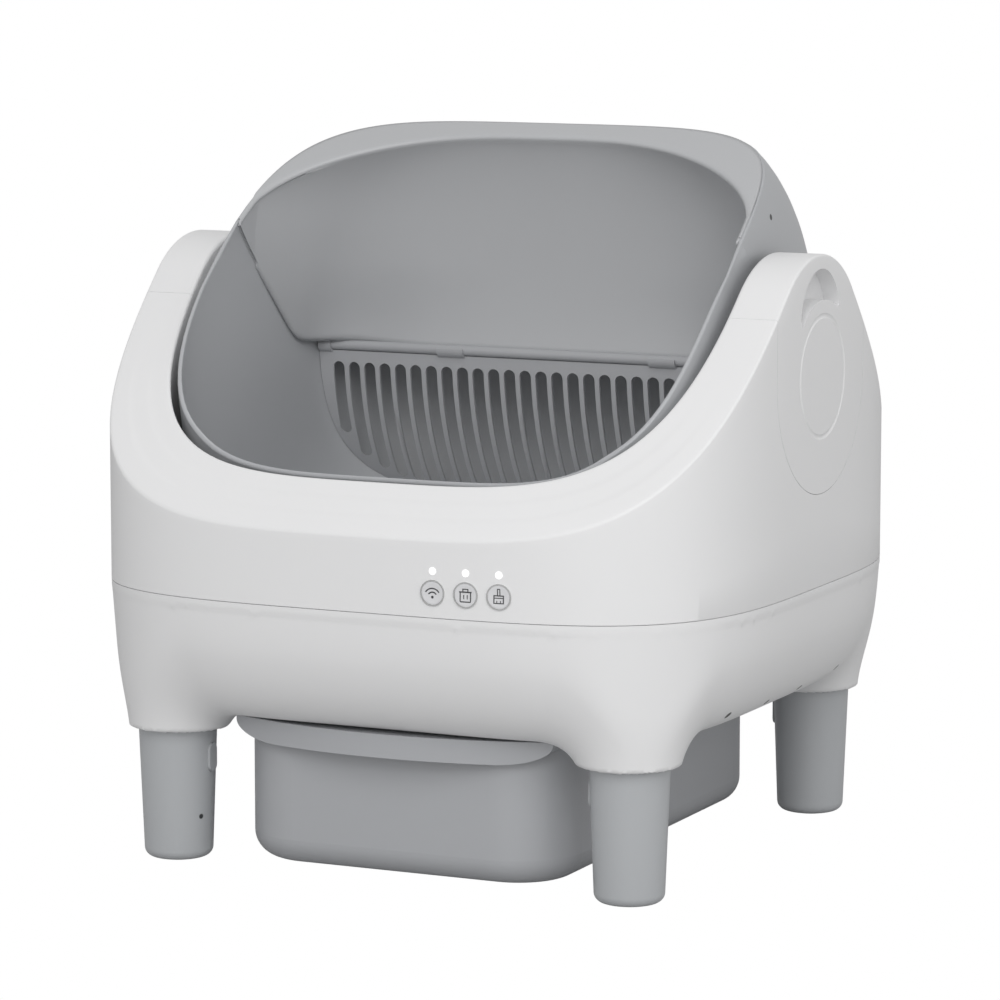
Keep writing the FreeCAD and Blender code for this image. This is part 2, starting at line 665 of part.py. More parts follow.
def drum_reach(x, inset):
    """Radius of the drum's surface at x, drawn in by inset."""
    share = abs(x) / (DRUM_HALF_LENGTH - inset)
    return (DRUM_RADIUS - inset) * max(0, 1 - share ** DRUM_POWER) ** (1 / DRUM_POWER)


def drum_solid(inset):
    """The drum's full body of revolution, drawn in by inset."""
    half = DRUM_HALF_LENGTH - inset
    radius = DRUM_RADIUS - inset
    points = []
    steps = 24
    for i in range(steps + 1):
        turn = math.pi * i / steps
        c = math.cos(turn)
        s = math.sin(turn)
        reach = (abs(c) ** DRUM_POWER + abs(s) ** DRUM_POWER) ** (-1 / DRUM_POWER)
        points.append(V(half * reach * c, 0, PIVOT_Z + radius * reach * s))
    curve = Part.BSplineCurve()
    curve.interpolate(Points=points)
    axis = Part.LineSegment(points[-1], points[0])
    face = Part.Face(Part.Wire([curve.toShape(), axis.toShape()]))
    return face.revolve(V(0, 0, PIVOT_Z), X_AXIS, 360)


def rim_circle():
    """Centre and radius of the arc that the rim has in side view."""
    (ay, az), (by, bz), (cy, cz) = RIM_FRONT, RIM_MIDDLE, RIM_BACK
    d = 2 * (ay * (bz - cz) + by * (cz - az) + cy * (az - bz))
    a2 = ay * ay + az * az
    b2 = by * by + bz * bz
    c2 = cy * cy + cz * cz
    y = (a2 * (bz - cz) + b2 * (cz - az) + c2 * (az - bz)) / d
    z = (a2 * (cy - by) + b2 * (ay - cy) + c2 * (by - ay)) / d
    return y, z, math.hypot(ay - y, az - z)


def rim_turn(drop):
    """Points of the rim's harder turn at the front, with the rim lowered by drop: start, middle, end, far end."""
    y, z, radius = rim_circle()
    start = math.asin((RIM_TURN_Y - y) / radius)
    end = -math.radians(RIM_TURN_SLOPE)
    centre_y = y + (radius - RIM_TURN_RADIUS) * math.sin(start)
    centre_z = z + (radius - RIM_TURN_RADIUS) * math.cos(start)
    points = []
    for turn in (start, (start + end) / 2, end):
        points.append((centre_y + (RIM_TURN_RADIUS - drop) * math.sin(turn),
                       centre_z + (RIM_TURN_RADIUS - drop) * math.cos(turn)))
    run = DRUM_RADIUS / 2
    points.append((points[2][0] - run * math.cos(end), points[2][1] + run * math.sin(end)))
    return points


def inside_rim(drop):
    """Everything on the drum's side of the rim surface, lowered by drop."""
    y, z, radius = rim_circle()
    inside = rod(radius - drop, V(-REACH, y, z), V(REACH, y, z))
    start, middle, end, far = [side(*point) for point in rim_turn(drop)]
    out = (start - side(y, z)).normalize() * BEYOND
    edges = [
        Part.Arc(start, middle, end),
        Part.LineSegment(end, far),
        Part.LineSegment(far, side(-REACH, far.z)),
        Part.LineSegment(side(-REACH, far.z), side(-REACH, start.z + out.z)),
        Part.LineSegment(side(-REACH, start.z + out.z), start + out),
        Part.LineSegment(start + out, start),
    ]
    return inside.cut(across(Part.Face(Part.Wire([e.toShape() for e in edges]))))


def hood_zone(gap):
    """Region above the joint of hood and bowl: 45 degrees down from the rim, then level to the rear."""
    start_z = HOOD_JOINT_Z + (HOOD_JOINT_CORNER_Y - HOOD_JOINT_Y)
    slope = math.radians(45)
    tangent = HOOD_JOINT_ROUND * math.tan(slope / 2)
    corner = V(0, HOOD_JOINT_CORNER_Y, HOOD_JOINT_Z + gap)
    before = corner + V(0, -math.cos(slope), math.sin(slope)) * tangent
    after = corner + V(0, 1, 0) * tangent
    centre = after + V(0, 0, HOOD_JOINT_ROUND)
    mid = centre + V(0, -math.sin(slope / 2), -math.cos(slope / 2)) * HOOD_JOINT_ROUND
    far = 120
    first = V(0, HOOD_JOINT_Y - far, start_z + far + gap)
    shift = V(-REACH, 0, 0)
    edges = [
        Part.LineSegment(first + shift, before + shift),
        Part.Arc(before + shift, mid + shift, after + shift),
        Part.LineSegment(after + shift, side(REACH, HOOD_JOINT_Z + gap)),
        Part.LineSegment(side(REACH, HOOD_JOINT_Z + gap), side(REACH, 2 * REACH)),
        Part.LineSegment(side(REACH, 2 * REACH), side(first.y, 2 * REACH)),
        Part.LineSegment(side(first.y, 2 * REACH), first + shift),
    ]
    return across(Part.Face(Part.Wire([e.toShape() for e in edges])))


def liner_back_y(z):
    """Side view of the liner's rear wall: an arc from the rim band down to the hinge."""
    ry, rz, radius = rim_circle()
    top_y = RIM_BACK[0] - BAND_WIDTH * 0.93
    top_z = rz + math.sqrt(radius ** 2 - (top_y - ry) ** 2)
    low_y = HINGE_Y + 2
    low_z = HOOD_JOINT_Z
    half = math.hypot(top_y - low_y, top_z - low_z) / 2
    bend = (half ** 2 + LINER_BULGE ** 2) / (2 * LINER_BULGE)
    mid_y = (top_y + low_y) / 2
    mid_z = (top_z + low_z) / 2
    out_y = (top_z - low_z) / (2 * half)
    out_z = (low_y - top_y) / (2 * half)
    centre_y = mid_y + out_y * (LINER_BULGE - bend)
    centre_z = mid_z + out_z * (LINER_BULGE - bend)
    z = min(max(z, low_z), top_z)
    return centre_y + math.sqrt(max(0, bend ** 2 - (z - centre_z) ** 2))


def liner_half_width(z):
    """Half width of the liner's hollow at height z: straight sides that close in like a dome near the rim."""
    full = DRUM_HALF_LENGTH - DRUM_WALL
    start = HOOD_JOINT_Z + HOOD_JOINT_CORNER_Y - HOOD_JOINT_Y
    top = liner_top_z()
    if z <= start:
        return full
    share = (z - start) / (top - start)
    return full * (1 - 0.5 * share ** 2.6)


def liner_top_z():
    """Height of the rim band's inner edge at its middle."""
    ry, rz, radius = rim_circle()
    return rz + math.sqrt(radius ** 2 - (RIM_BACK[0] - BAND_WIDTH * 0.93 - ry) ** 2)


def liner_power(z):
    """Exponent of the liner's plan at height z: nearly square at the joint, rounder towards the rim."""
    share = min(max((z - HOOD_JOINT_Z) / LINER_BLEND, 0), 1)
    return LINER_POWER + (LINER_JOINT_POWER - LINER_POWER) * (1 - share) ** 2


def liner_hollow(outset):
    """Space in front of the liner, let out by outset: level sections lofted from the hinge to the rim."""
    top = liner_top_z()
    low = HOOD_JOINT_Z
    heights = [low - 8, low, low + 40, low + 80, low + 118, low + 138, low + 154, low + 167, low + 178, top]
    sections = []
    for z in heights:
        a = liner_half_width(z) + outset
        back = liner_back_y(z) + outset
        b = back - LINER_CENTRE_Y
        power = liner_power(z)
        points = []
        steps = 14
        for i in range(steps + 1):
            turn = math.pi * i / steps
            c = math.cos(turn)
            s = math.sin(turn)
            reach = (abs(c) ** power + abs(s) ** power) ** (-1 / power)
            points.append(V(a * reach * c, LINER_CENTRE_Y + b * reach * s, z))
        curve = Part.BSplineCurve()
        curve.interpolate(Points=points)
        far = V(0, -REACH, 0)
        edges = [
            curve.toShape(),
            Part.LineSegment(points[-1], points[-1] + far).toShape(),
            Part.LineSegment(points[-1] + far, points[0] + far).toShape(),
            Part.LineSegment(points[0] + far, points[0]).toShape(),
        ]
        sections.append(Part.Wire(edges))
    lofted = Part.makeLoft(sections, True, False)
    cap = Part.Face(sections[-1]).extrude(V(0, 0, 60))
    return lofted.fuse(cap)


def make_drum_bowl():
    """Lower and front part of the drum's shell."""
    shell = drum_solid(0).cut(drum_solid(DRUM_WALL)).common(inside_rim(0))
    return shell.cut(hood_zone(0))


def make_drum_hood():
    """Upper rear part of the drum's shell, with a screw dimple on its right side."""
    shell = drum_solid(0).cut(drum_solid(DRUM_WALL)).common(inside_rim(0))
    y, z = DIMPLE_PLACE
    share = math.hypot(y, z - PIVOT_Z) / DRUM_RADIUS
    face_x = DRUM_HALF_LENGTH * (1 - share ** DRUM_POWER) ** (1 / DRUM_POWER)
    dimple = rod(DIMPLE_RADIUS, V(face_x - DIMPLE_DEPTH, y, z), V(face_x + BEYOND, y, z))
    return shell.common(hood_zone(0)).cut(dimple)


def make_hood_liner():
    """Inner wall of the hood: hollow rear wall and the flat band along the rim."""
    inner = drum_solid(DRUM_WALL).common(hood_zone(0)).common(inside_rim(0))
    hollow = liner_hollow(0)
    wall = inner.common(liner_hollow(LINER_WALL)).cut(hollow)
    band = inner.cut(inside_rim(LINER_WALL)).cut(hollow)
    bar = rod(HINGE_BAR_RADIUS, V(-REACH, HINGE_Y, HINGE_Z), V(REACH, HINGE_Y, HINGE_Z))
    liner = fuse_all([wall, band]).cut(bar)
    for sign in (-1, 1):
        liner = liner.cut(clip_rod(sign, CLEAR))
    return liner


def clip_rod(sign, room):
    """Round form of the sieve's clip on one side, with room round it and at its ends."""
    radius = HINGE_BAR_RADIUS + RUNNING + KNUCKLE_WALL + room
    half = CLIP_LENGTH / 2 + room
    start = V(sign * CLIP_X - half, HINGE_Y, HINGE_Z)
    return rod(radius, start, start + X_AXIS * 2 * half)


def make_hinge_bar():
    """Round bar under the liner that carries the sieve, with the web that holds it to the liner."""
    end = DRUM_HALF_LENGTH - DRUM_WALL - 4
    bar = rod(HINGE_BAR_RADIUS, V(-end, HINGE_Y, HINGE_Z), V(end, HINGE_Y, HINGE_Z))
    return bar.common(drum_solid(DRUM_WALL))


def sieve_y(z):
    """Side view of the sieve: an arc that starts upright under the hinge and bends to the rear."""
    drop = HINGE_Z - z
    return HINGE_Y + SIEVE_RADIUS - math.sqrt(SIEVE_RADIUS ** 2 - drop ** 2)


def sieve_low_z(x, margin):
    """Height where the sieve, at x, comes within margin of the drum's inner wall."""
    limit = drum_reach(x, DRUM_WALL) - margin
    z = SIEVE_TOP_Z
    while z > PIVOT_Z - DRUM_RADIUS:
        if math.hypot(sieve_y(z), z - PIVOT_Z) > limit:
            return z
        z -= 0.5
    return z


def make_sieve():
    """Curved slotted plate with a D outline, end knuckles and two clips on the hinge bar."""
    centre = V(0, HINGE_Y + SIEVE_RADIUS, HINGE_Z)
    outer = rod(SIEVE_RADIUS + SIEVE_THICK / 2, centre - X_AXIS * REACH, centre + X_AXIS * REACH)
    inner = rod(SIEVE_RADIUS - SIEVE_THICK / 2, centre - X_AXIS * REACH, centre + X_AXIS * REACH)
    zone = box(-REACH, REACH, HINGE_Y - 10, HINGE_Y + 90, PIVOT_Z - DRUM_RADIUS, SIEVE_TOP_Z)
    plate = outer.cut(inner).common(zone).common(drum_solid(DRUM_WALL + 0.6))
    knuckle_r = HINGE_BAR_RADIUS + RUNNING + KNUCKLE_WALL
    hooks = []
    knuckle_end = drum_reach_x(HINGE_Y) - 1.5
    for sign in (-1, 1):
        x0 = sign * (knuckle_end - KNUCKLE_LENGTH)
        x1 = sign * knuckle_end
        hooks.append(rod(knuckle_r, V(x0, HINGE_Y, HINGE_Z), V(x1, HINGE_Y, HINGE_Z)))
        low = box(-REACH, REACH, HINGE_Y - REACH, HINGE_Y + REACH, HINGE_Z - REACH, HINGE_Z + CLIP_TOP)
        hooks.append(clip_rod(sign, 0).common(low))
    sieve = fuse_all([plate] + hooks)
    bore = HINGE_BAR_RADIUS + RUNNING
    sieve = sieve.cut(rod(bore, V(-REACH, HINGE_Y, HINGE_Z), V(REACH, HINGE_Y, HINGE_Z)))
    slots = []
    half = SLOT_WIDTH / 2
    for i in range(SLOT_COUNT):
        x = (i - (SLOT_COUNT - 1) / 2) * SLOT_PITCH
        edge_x = abs(x) + half
        low = sieve_low_z(edge_x, SIEVE_BORDER) + half
        high = SLOT_TOP_Z - half
        y0 = HINGE_Y - 8
        y1 = HINGE_Y + 80
        slots.append(rod(half, V(x, y0, high), V(x, y1, high)))
        slots.append(rod(half, V(x, y0, low), V(x, y1, low)))
        slots.append(box(x - half, x + half, y0, y1, low, high))
    return sieve.cut(slots)


def drum_reach_x(radius):
    """Half width of the drum's inner wall at a distance from the pivot."""
    share = radius / (DRUM_RADIUS - DRUM_WALL)
    return (DRUM_HALF_LENGTH - DRUM_WALL) * (1 - share ** DRUM_POWER) ** (1 / DRUM_POWER)


def tooth_outline(teeth, phase):
    """Gear outline about the origin of the YZ plane: tip, pitch and root points of each flank."""
    pitch_r = GEAR_MODULE * teeth / 2
    tip_r = pitch_r + GEAR_MODULE
    root_r = pitch_r - 1.25 * GEAR_MODULE
    base_r = pitch_r * math.cos(math.radians(20))
    half_pitch = (math.pi * GEAR_MODULE / 2 - TOOTH_THINNING) / (2 * pitch_r)

    def involute(radius):
        a = math.acos(min(1, base_r / radius))
        return math.tan(a) - a

    def half_angle(radius):
        return half_pitch + involute(pitch_r) - involute(max(radius, base_r))

    points = []
    radii = (root_r, (base_r + pitch_r) / 2 if base_r > root_r else pitch_r - 1, pitch_r, pitch_r + 1, tip_r)
    for i in range(teeth):
        centre = phase + 2 * math.pi * i / teeth
        for radius in radii:
            turn = centre - half_angle(radius)
            points.append((radius * math.cos(turn), radius * math.sin(turn)))
        for radius in reversed(radii):
            turn = centre + half_angle(radius)
            points.append((radius * math.cos(turn), radius * math.sin(turn)))
    return points


def gear_solid(teeth, phase, x0, x1, z):
    """Spur gear about an X axis at height z, between two planes."""
    outline = [V(x0, a, z + b) for a, b in tooth_outline(teeth, phase)]
    return Part.Face(polygon_wire(outline)).extrude(V(x1 - x0, 0, 0))


def bearing_x():
    """Near and far plane of a bearing on the outside of the skirt."""
    near = MOUTH_HALF_WIDTH + WALL
    return near, near + BEARING_WIDTH


def gear_x():
    """Near and far plane of the gears, just outside the bearing."""
    near = bearing_x()[1] + 1.5
    return near, near + GEAR_FACE


def make_trunnion(sign):
    """Stub shaft on one end of the drum, with its flange."""
    face = DRUM_HALF_LENGTH
    end = gear_x()[1] + 6 if sign > 0 else bearing_x()[1] + 4
    flange = rod(FLANGE_RADIUS, V(sign * face, 0, PIVOT_Z), V(sign * (face + FLANGE_THICK), 0, PIVOT_Z))
    shaft = rod(TRUNNION_RADIUS, V(sign * face, 0, PIVOT_Z), V(sign * end, 0, PIVOT_Z))
    trunnion = flange.fuse(shaft)
    trunnion = trunnion.cut(rod(TRUNNION_BORE, V(sign * (face + 2), 0, PIVOT_Z), V(sign * (end + 1), 0, PIVOT_Z)))
    for centre in flange_screw_places():
        hole = rod(SCREW_RADIUS, V(sign * (face - 1), centre[0], centre[1]),
                   V(sign * (face + FLANGE_THICK + 1), centre[0], centre[1]))
        trunnion = trunnion.cut(hole)
    trunnion = trunnion.cut(drum_solid(0))
    if sign < 0:
        magnet_y = FLANGE_SCREW_RADIUS
        trunnion = trunnion.cut(rod(3, V(-face - 1.5, magnet_y, PIVOT_Z), V(-face - FLANGE_THICK - 1, magnet_y, PIVOT_Z)))
    return trunnion.removeSplitter()


def flange_screw_places():
    """Screw centres of a trunnion flange, as (y, z)."""
    places = []
    for i in range(FLANGE_SCREWS):
        turn = 2 * math.pi * (i + 0.5) / FLANGE_SCREWS
        places.append((FLANGE_SCREW_RADIUS * math.cos(turn), PIVOT_Z + FLANGE_SCREW_RADIUS * math.sin(turn)))
    return places


def make_trunnion_screws():
    """Screws through both flanges into the drum's ends."""
    screws = []
    outer = DRUM_HALF_LENGTH + FLANGE_THICK
    for sign in (-1, 1):
        for y, z in flange_screw_places():
            head = rod(SCREW_HEAD_RADIUS, V(sign * outer, y, z), V(sign * (outer + 1.8), y, z))
            shank = rod(SCREW_RADIUS, V(sign * (DRUM_HALF_LENGTH + 0.2), y, z), V(sign * outer, y, z))
            screws.append(head.fuse(shank))
    return Part.makeCompound(screws)


def make_drive_gear():
    """Large gear on the right trunnion, with spokes cut by six round windows."""
    x0, x1 = gear_x()
    gear = gear_solid(GEAR_TEETH, -math.pi / 2, x0, x1, PIVOT_Z)
    gear = gear.cut(rod(TRUNNION_RADIUS, V(x0 - 1, 0, PIVOT_Z), V(x1 + 1, 0, PIVOT_Z)))
    for i in range(6):
        turn = math.pi / 3 * i
        y = 46 * math.cos(turn)
        z = PIVOT_Z + 46 * math.sin(turn)
        gear = gear.cut(rod(13, V(x0 - 1, y, z), V(x1 + 1, y, z)))
    return gear


def pinion_z():
    """Height of the pinion's axis, straight below the drum's."""
    return PIVOT_Z - GEAR_MODULE * (GEAR_TEETH + PINION_TEETH) / 2


def make_drive_pinion():
    """Small gear with the gearbox's output shaft."""
    x0, x1 = gear_x()
    phase = math.pi / 2 + math.pi / PINION_TEETH
    pinion = gear_solid(PINION_TEETH, phase, x0, x1, pinion_z())
    start = bearing_x()[0] + 3
    shaft = rod(OUTPUT_RADIUS, V(start, 0, pinion_z()), V(x1 + 2, 0, pinion_z()))
    return pinion.fuse(shaft).removeSplitter()


def make_gearbox():
    """Housing of the worm reduction, on the outside of the skirt."""
    x0, x1 = bearing_x()
    z1 = BEARING_FOOT_Z - 2
    z0 = z1 - GEARBOX_HEIGHT
    case = box(x0 - 2, x1, -GEARBOX_HALF_DEPTH, GEARBOX_HALF_DEPTH, z0, z1)
    level = [e for e in case.Edges if abs(e.tangentAt(e.FirstParameter).x) > 0.99]
    case = case.makeFillet(4, level).cut(mouth_prism(WALL + SEAT_GAP, z0 - 1, z1 + 1))
    return case.cut(rod(OUTPUT_RADIUS + RUNNING, V(x0 + 3, 0, pinion_z()), V(x1 + 1, 0, pinion_z())))


def make_drive_motor():
    """Motor can that drives the worm, beside the gearbox."""
    x = bearing_x()[0] + MOTOR_RADIUS + 0.8
    z = BEARING_FOOT_Z - 2 - GEARBOX_HEIGHT + MOTOR_RADIUS + 1
    start = V(x, GEARBOX_HALF_DEPTH, z)
    can = rod(MOTOR_RADIUS, start, start + Y_AXIS * MOTOR_LENGTH)
    end_cap = rod(MOTOR_RADIUS * 0.7, start + Y_AXIS * MOTOR_LENGTH, start + Y_AXIS * (MOTOR_LENGTH + 4))
    return can.fuse(end_cap)


def make_motor_clamp():
    """Saddle that holds the motor to the skirt."""
    x = bearing_x()[0] + MOTOR_RADIUS + 0.8
    z = BEARING_FOOT_Z - 2 - GEARBOX_HEIGHT + MOTOR_RADIUS + 1
    y0 = GEARBOX_HALF_DEPTH + 24
    y1 = y0 + 12
    ring = rod(MOTOR_RADIUS + 2.5, V(x, y0, z), V(x, y1, z))
    foot = box(mouth_x(y1) + WALL, x, y0, y1, z - MOTOR_RADIUS - 2.5, z + MOTOR_RADIUS + 2.5)
    clamp = ring.fuse(foot).cut(mouth_prism(WALL + SEAT_GAP, z - 50, z + 50))
    return clamp.cut(rod(MOTOR_RADIUS, V(x, y0 - 1, z), V(x, y1 + 1, z))).removeSplitter()


def make_bearing(sign):
    """Open saddle on the outside of the skirt that a trunnion drops into from above."""
    x0, x1 = bearing_x()
    half = TRUNNION_RADIUS + BEARING_WALL
    block = box(x0 - 2, x1, -half, half, BEARING_FOOT_Z, PIVOT_Z + 12)
    slot_half = TRUNNION_RADIUS + RUNNING
    block = block.cut(rod(slot_half, V(x0 - 3, 0, PIVOT_Z), V(x1 + 1, 0, PIVOT_Z)))
    block = block.cut(box(x0 - 3, x1 + 1, -slot_half, slot_half, PIVOT_Z, PIVOT_Z + 20))
    if sign < 0:
        block = block.mirror(V(0, 0, 0), X_AXIS)
    return block.cut(mouth_prism(WALL + SEAT_GAP, BEARING_FOOT_Z - 1, PIVOT_Z + 20))


def make_home_sensor():
    """Small sensor block above the left bearing that finds the magnet of the trunnion flange."""
    y = FLANGE_SCREW_RADIUS
    half = 3.5
    near = MOUTH_HALF_WIDTH + WALL
    z0 = PIVOT_Z + 12
    block = box(-near - 6, -near + 2, y - half, y + half, z0, z0 + 14)
    return block.cut(mouth_prism(WALL + SEAT_GAP, z0 - 1, z0 + 20))


def make_home_magnet():
    """Magnet in the left trunnion's flange."""
    y = FLANGE_SCREW_RADIUS
    face = DRUM_HALF_LENGTH
    return rod(3, V(-face - 1.5, y, PIVOT_Z), V(-face - FLANGE_THICK, y, PIVOT_Z))


def rounded_block(half_width, y0, y1, corner, z0, z1):
    """Block with rounded upright edges."""
    block = box(-half_width, half_width, y0, y1, z0, z1)
    upright = [e for e in block.Edges if abs(e.tangentAt(e.FirstParameter).z) > 0.99]
    return block.makeFillet(corner, upright)


def drawer_form(inset, top_z):
    """Outside of the drawer's tub, or its hollow when inset is the wall."""
    z0 = DRAWER_BOTTOM_Z + inset
    block = rounded_block(DRAWER_HALF_WIDTH - inset, DRAWER_FRONT + inset, DRAWER_REAR - inset,
                          DRAWER_CORNER - inset, z0, top_z)
    bottom = [e for e in block.Edges if abs(e.BoundBox.ZMax - z0) < 0.01]
    return block.makeFillet(DRAWER_EDGE - inset, bottom)


def pull_plan(inset, z0, z1):
    """Crescent in plan: in front of the drawer, inside an arc."""
    front = DRAWER_FRONT - PULL_REACH + inset
    radius = PULL_PLAN_RADIUS - inset
    disc = rod(radius, V(0, front + radius, z0), V(0, front + radius, z1))
    return disc.common(box(-REACH, REACH, front - 1, DRAWER_FRONT + DRAWER_CORNER, z0, z1))


def pull_front(inset, z0, z1):
    """Front view of the pull: level bottom edge that curves up at both ends."""
    half = PULL_HALF_WIDTH - inset
    flat = half - PULL_ROUND_WIDTH
    end_z = z1 - PULL_END_HEIGHT
    steps = 6
    outline = []
    for i in range(steps + 1):
        turn = math.pi / 2 * i / steps
        outline.append((flat + PULL_ROUND_WIDTH * math.cos(turn), end_z - (end_z - z0) * math.sin(turn)))
    left = Part.BSplineCurve()
    left.interpolate(Points=[V(-x, 0, z) for x, z in outline])
    right = Part.BSplineCurve()
    right.interpolate(Points=[V(x, 0, z) for x, z in reversed(outline)])
    edges = [
        left.toShape(),
        Part.LineSegment(V(-flat, 0, z0), V(flat, 0, z0)).toShape(),
        right.toShape(),
        Part.LineSegment(V(half, 0, end_z), V(half, 0, z1)).toShape(),
        Part.LineSegment(V(half, 0, z1), V(-half, 0, z1)).toShape(),
        Part.LineSegment(V(-half, 0, z1), V(-half, 0, end_z)).toShape(),
    ]
    face = Part.Face(Part.Wire(edges))
    face.translate(V(0, DRAWER_FRONT - PULL_REACH - 5, 0))
    return face.extrude(V(0, PULL_REACH + DRAWER_CORNER, 0))


def drawer_top_z():
    """Rim of the drawer."""
    return FLOOR_Z - DRAWER_GAP


def make_waste_drawer():
    """Tub with slide flanges on both sides and the crescent pull at its front."""
    top = drawer_top_z()
    outer = drawer_form(0, top)
    pull = pull_plan(0, PULL_BOTTOM_Z, PULL_TOP_Z).common(pull_front(0, PULL_BOTTOM_Z, PULL_TOP_Z))
    grip = pull_plan(DRAWER_WALL, PULL_BOTTOM_Z - 5, PULL_TOP_Z - PULL_ROOF).common(
        pull_front(DRAWER_WALL, PULL_BOTTOM_Z - 5, PULL_TOP_Z - PULL_ROOF))
    pull = pull.cut(grip)
    flanges = []
    y1 = DRAWER_REAR - DRAWER_CORNER
    y0 = DRAWER_FRONT + DRAWER_CORNER
    for sign in (-1, 1):
        x0, x1 = sorted((sign * (DRAWER_HALF_WIDTH - 1), sign * (DRAWER_HALF_WIDTH + DRAWER_FLANGE)))
        flanges.append(box(x0, x1, y0, y1, top - RAIL_WALL - 1.5, top - 1.5))
    tub = fuse_all([outer, pull] + flanges)
    return tub.cut(drawer_form(DRAWER_WALL, PULL_TOP_Z + 5)).removeSplitter()


def make_drawer_rail(sign):
    """L-shaped rail under the floor that carries one flange of the drawer."""
    flange_low = drawer_top_z() - RAIL_WALL - 1.5
    outer = DRAWER_HALF_WIDTH + DRAWER_FLANGE + CLEAR
    lip_top = flange_low - CLEAR
    x0, x1 = sorted((sign * outer, sign * (outer + RAIL_WALL)))
    web = box(x0, x1, -RAIL_HALF_LENGTH, RAIL_HALF_LENGTH, lip_top - RAIL_WALL, FLOOR_Z)
    x0, x1 = sorted((sign * (DRAWER_HALF_WIDTH + 1.5), sign * (outer + RAIL_WALL)))
    lip = box(x0, x1, -RAIL_HALF_LENGTH, RAIL_HALF_LENGTH, lip_top - RAIL_WALL, lip_top)
    return web.fuse(lip).removeSplitter()


def panel_board_y():
    """Front face of the button board."""
    return front_wall_y(BUTTON_X[1]) + PANEL_BOARD_SETBACK


def make_panel_board():
    """Board behind the front wall with one switch per button."""
    y = panel_board_y()
    board = box(BUTTON_X[0] - 18, BUTTON_X[-1] + 14, y, y + BOARD_THICK, SEAM_Z + 8, BUTTON_Z + LIGHT_RISE + 9)
    return board


def make_panel_posts():
    """Posts that carry the button board on the front wall."""
    y = panel_board_y()
    posts = []
    for x in (BUTTON_X[0] - 14, BUTTON_X[-1] + 11):
        start = V(x, front_wall_y(x) + WALL, BUTTON_Z + LIGHT_RISE + 4)
        posts.append(rod(3, start, V(x, y, start.z)).cut(outside_wall()))
    return Part.makeCompound(posts)


def outside_wall():
    """Everything outside the inner face of the body's wall."""
    block = box(-REACH, REACH, -REACH, REACH, SEAM_Z, SEAM_Z + 90)
    return block.cut(body_prism(WALL, SEAM_Z - 1, SEAM_Z + 91))


def make_panel_button(x):
    """Round button with a dished face; its stem reaches the switch on the board."""
    wall = V(x, front_wall_y(x), BUTTON_Z)
    out = front_wall_normal(x)
    gap = panel_board_y() - wall.y
    face = rod(BUTTON_RADIUS, wall - out * 5, wall + out * BUTTON_PROUD)
    skirt = rod(BUTTON_RADIUS + 1.6, wall - out * 7, wall - out * (WALL + 0.5))
    stem = rod(2.5, wall - out * 6, wall - out * (gap - BUTTON_TRAVEL - 1))
    button = fuse_all([face, skirt, stem])
    dish_radius = 60.0
    centre = wall + out * (BUTTON_PROUD + dish_radius - 0.5)
    dish = Part.makeSphere(dish_radius, centre)
    return button.cut(dish)


def make_button_rings():
    """Thin bright rings round the buttons, pressed into the front wall."""
    rings = []
    for x in BUTTON_X:
        wall = V(x, front_wall_y(x), BUTTON_Z)
        out = front_wall_normal(x)
        flange = rod(RING_RADIUS, wall + out * 0.02, wall + out * RING_PROUD)
        ring = flange.cut(body_prism(0, SEAM_Z, SEAM_Z + 60))
        ring = ring.cut(rod(BUTTON_RADIUS + CLEAR, wall - out * 3, wall + out * 3))
        rings.append(ring.Solids[0])
    return Part.makeCompound(rings)


def make_status_lights():
    """Round lenses above the buttons, standing on the board."""
    lights = []
    for x in BUTTON_X:
        wall = V(x, front_wall_y(x), BUTTON_Z + LIGHT_RISE)
        out = front_wall_normal(x)
        lens = rod(LIGHT_RADIUS, wall - out * 20, wall + out * 0.3)
        lights.append(lens.cut(box(-REACH, REACH, panel_board_y(), REACH, 0, REACH)))
    return Part.makeCompound(lights)


def main_board_y():
    """Rear face of the main board."""
    return BODY_HALF_DEPTH - WALL - 10


def make_main_board():
    """Control board on the rear wall, with its larger components."""
    width, height = MAIN_BOARD_SIZE
    y = main_board_y()
    z0 = MAIN_BOARD_Z
    board = box(-width / 2, width / 2, y - BOARD_THICK, y, z0, z0 + height)
    chips = [
        box(-22, 2, y - BOARD_THICK - 3, y - BOARD_THICK, z0 + 28, z0 + 52),
        box(14, 40, y - BOARD_THICK - 9, y - BOARD_THICK, z0 + 10, z0 + 24),
        rod(6, V(-42, y - BOARD_THICK, z0 + 20), V(-42, y - BOARD_THICK - 14, z0 + 20)),
    ]
    return fuse_all([board] + chips)


def make_board_posts():
    """Posts between the rear wall and the main board."""
    width, height = MAIN_BOARD_SIZE
    posts = []
    for x in (-width / 2 + 6, width / 2 - 6):
        for z in (MAIN_BOARD_Z + 6, MAIN_BOARD_Z + height - 6):
            post = rod(3.5, V(x, main_board_y(), z), V(x, BODY_HALF_DEPTH, z))
            posts.append(post.cut(outside_wall()))
    return Part.makeCompound(posts)


def make_power_socket():
    """Round supply socket in the rear wall."""
    y = BODY_HALF_DEPTH
    body = rod(POWER_SOCKET_RADIUS, V(POWER_SOCKET_X, y - 16, POWER_SOCKET_Z),
               V(POWER_SOCKET_X, y - 1.0, POWER_SOCKET_Z))
    collar = rod(POWER_SOCKET_RADIUS + 2, V(POWER_SOCKET_X, y - 16, POWER_SOCKET_Z),
                 V(POWER_SOCKET_X, y - WALL - 4, POWER_SOCKET_Z))
    socket = body.fuse(collar)
    return socket.cut(rod(2.8, V(POWER_SOCKET_X, y - 12, POWER_SOCKET_Z), V(POWER_SOCKET_X, y + 1, POWER_SOCKET_Z)))


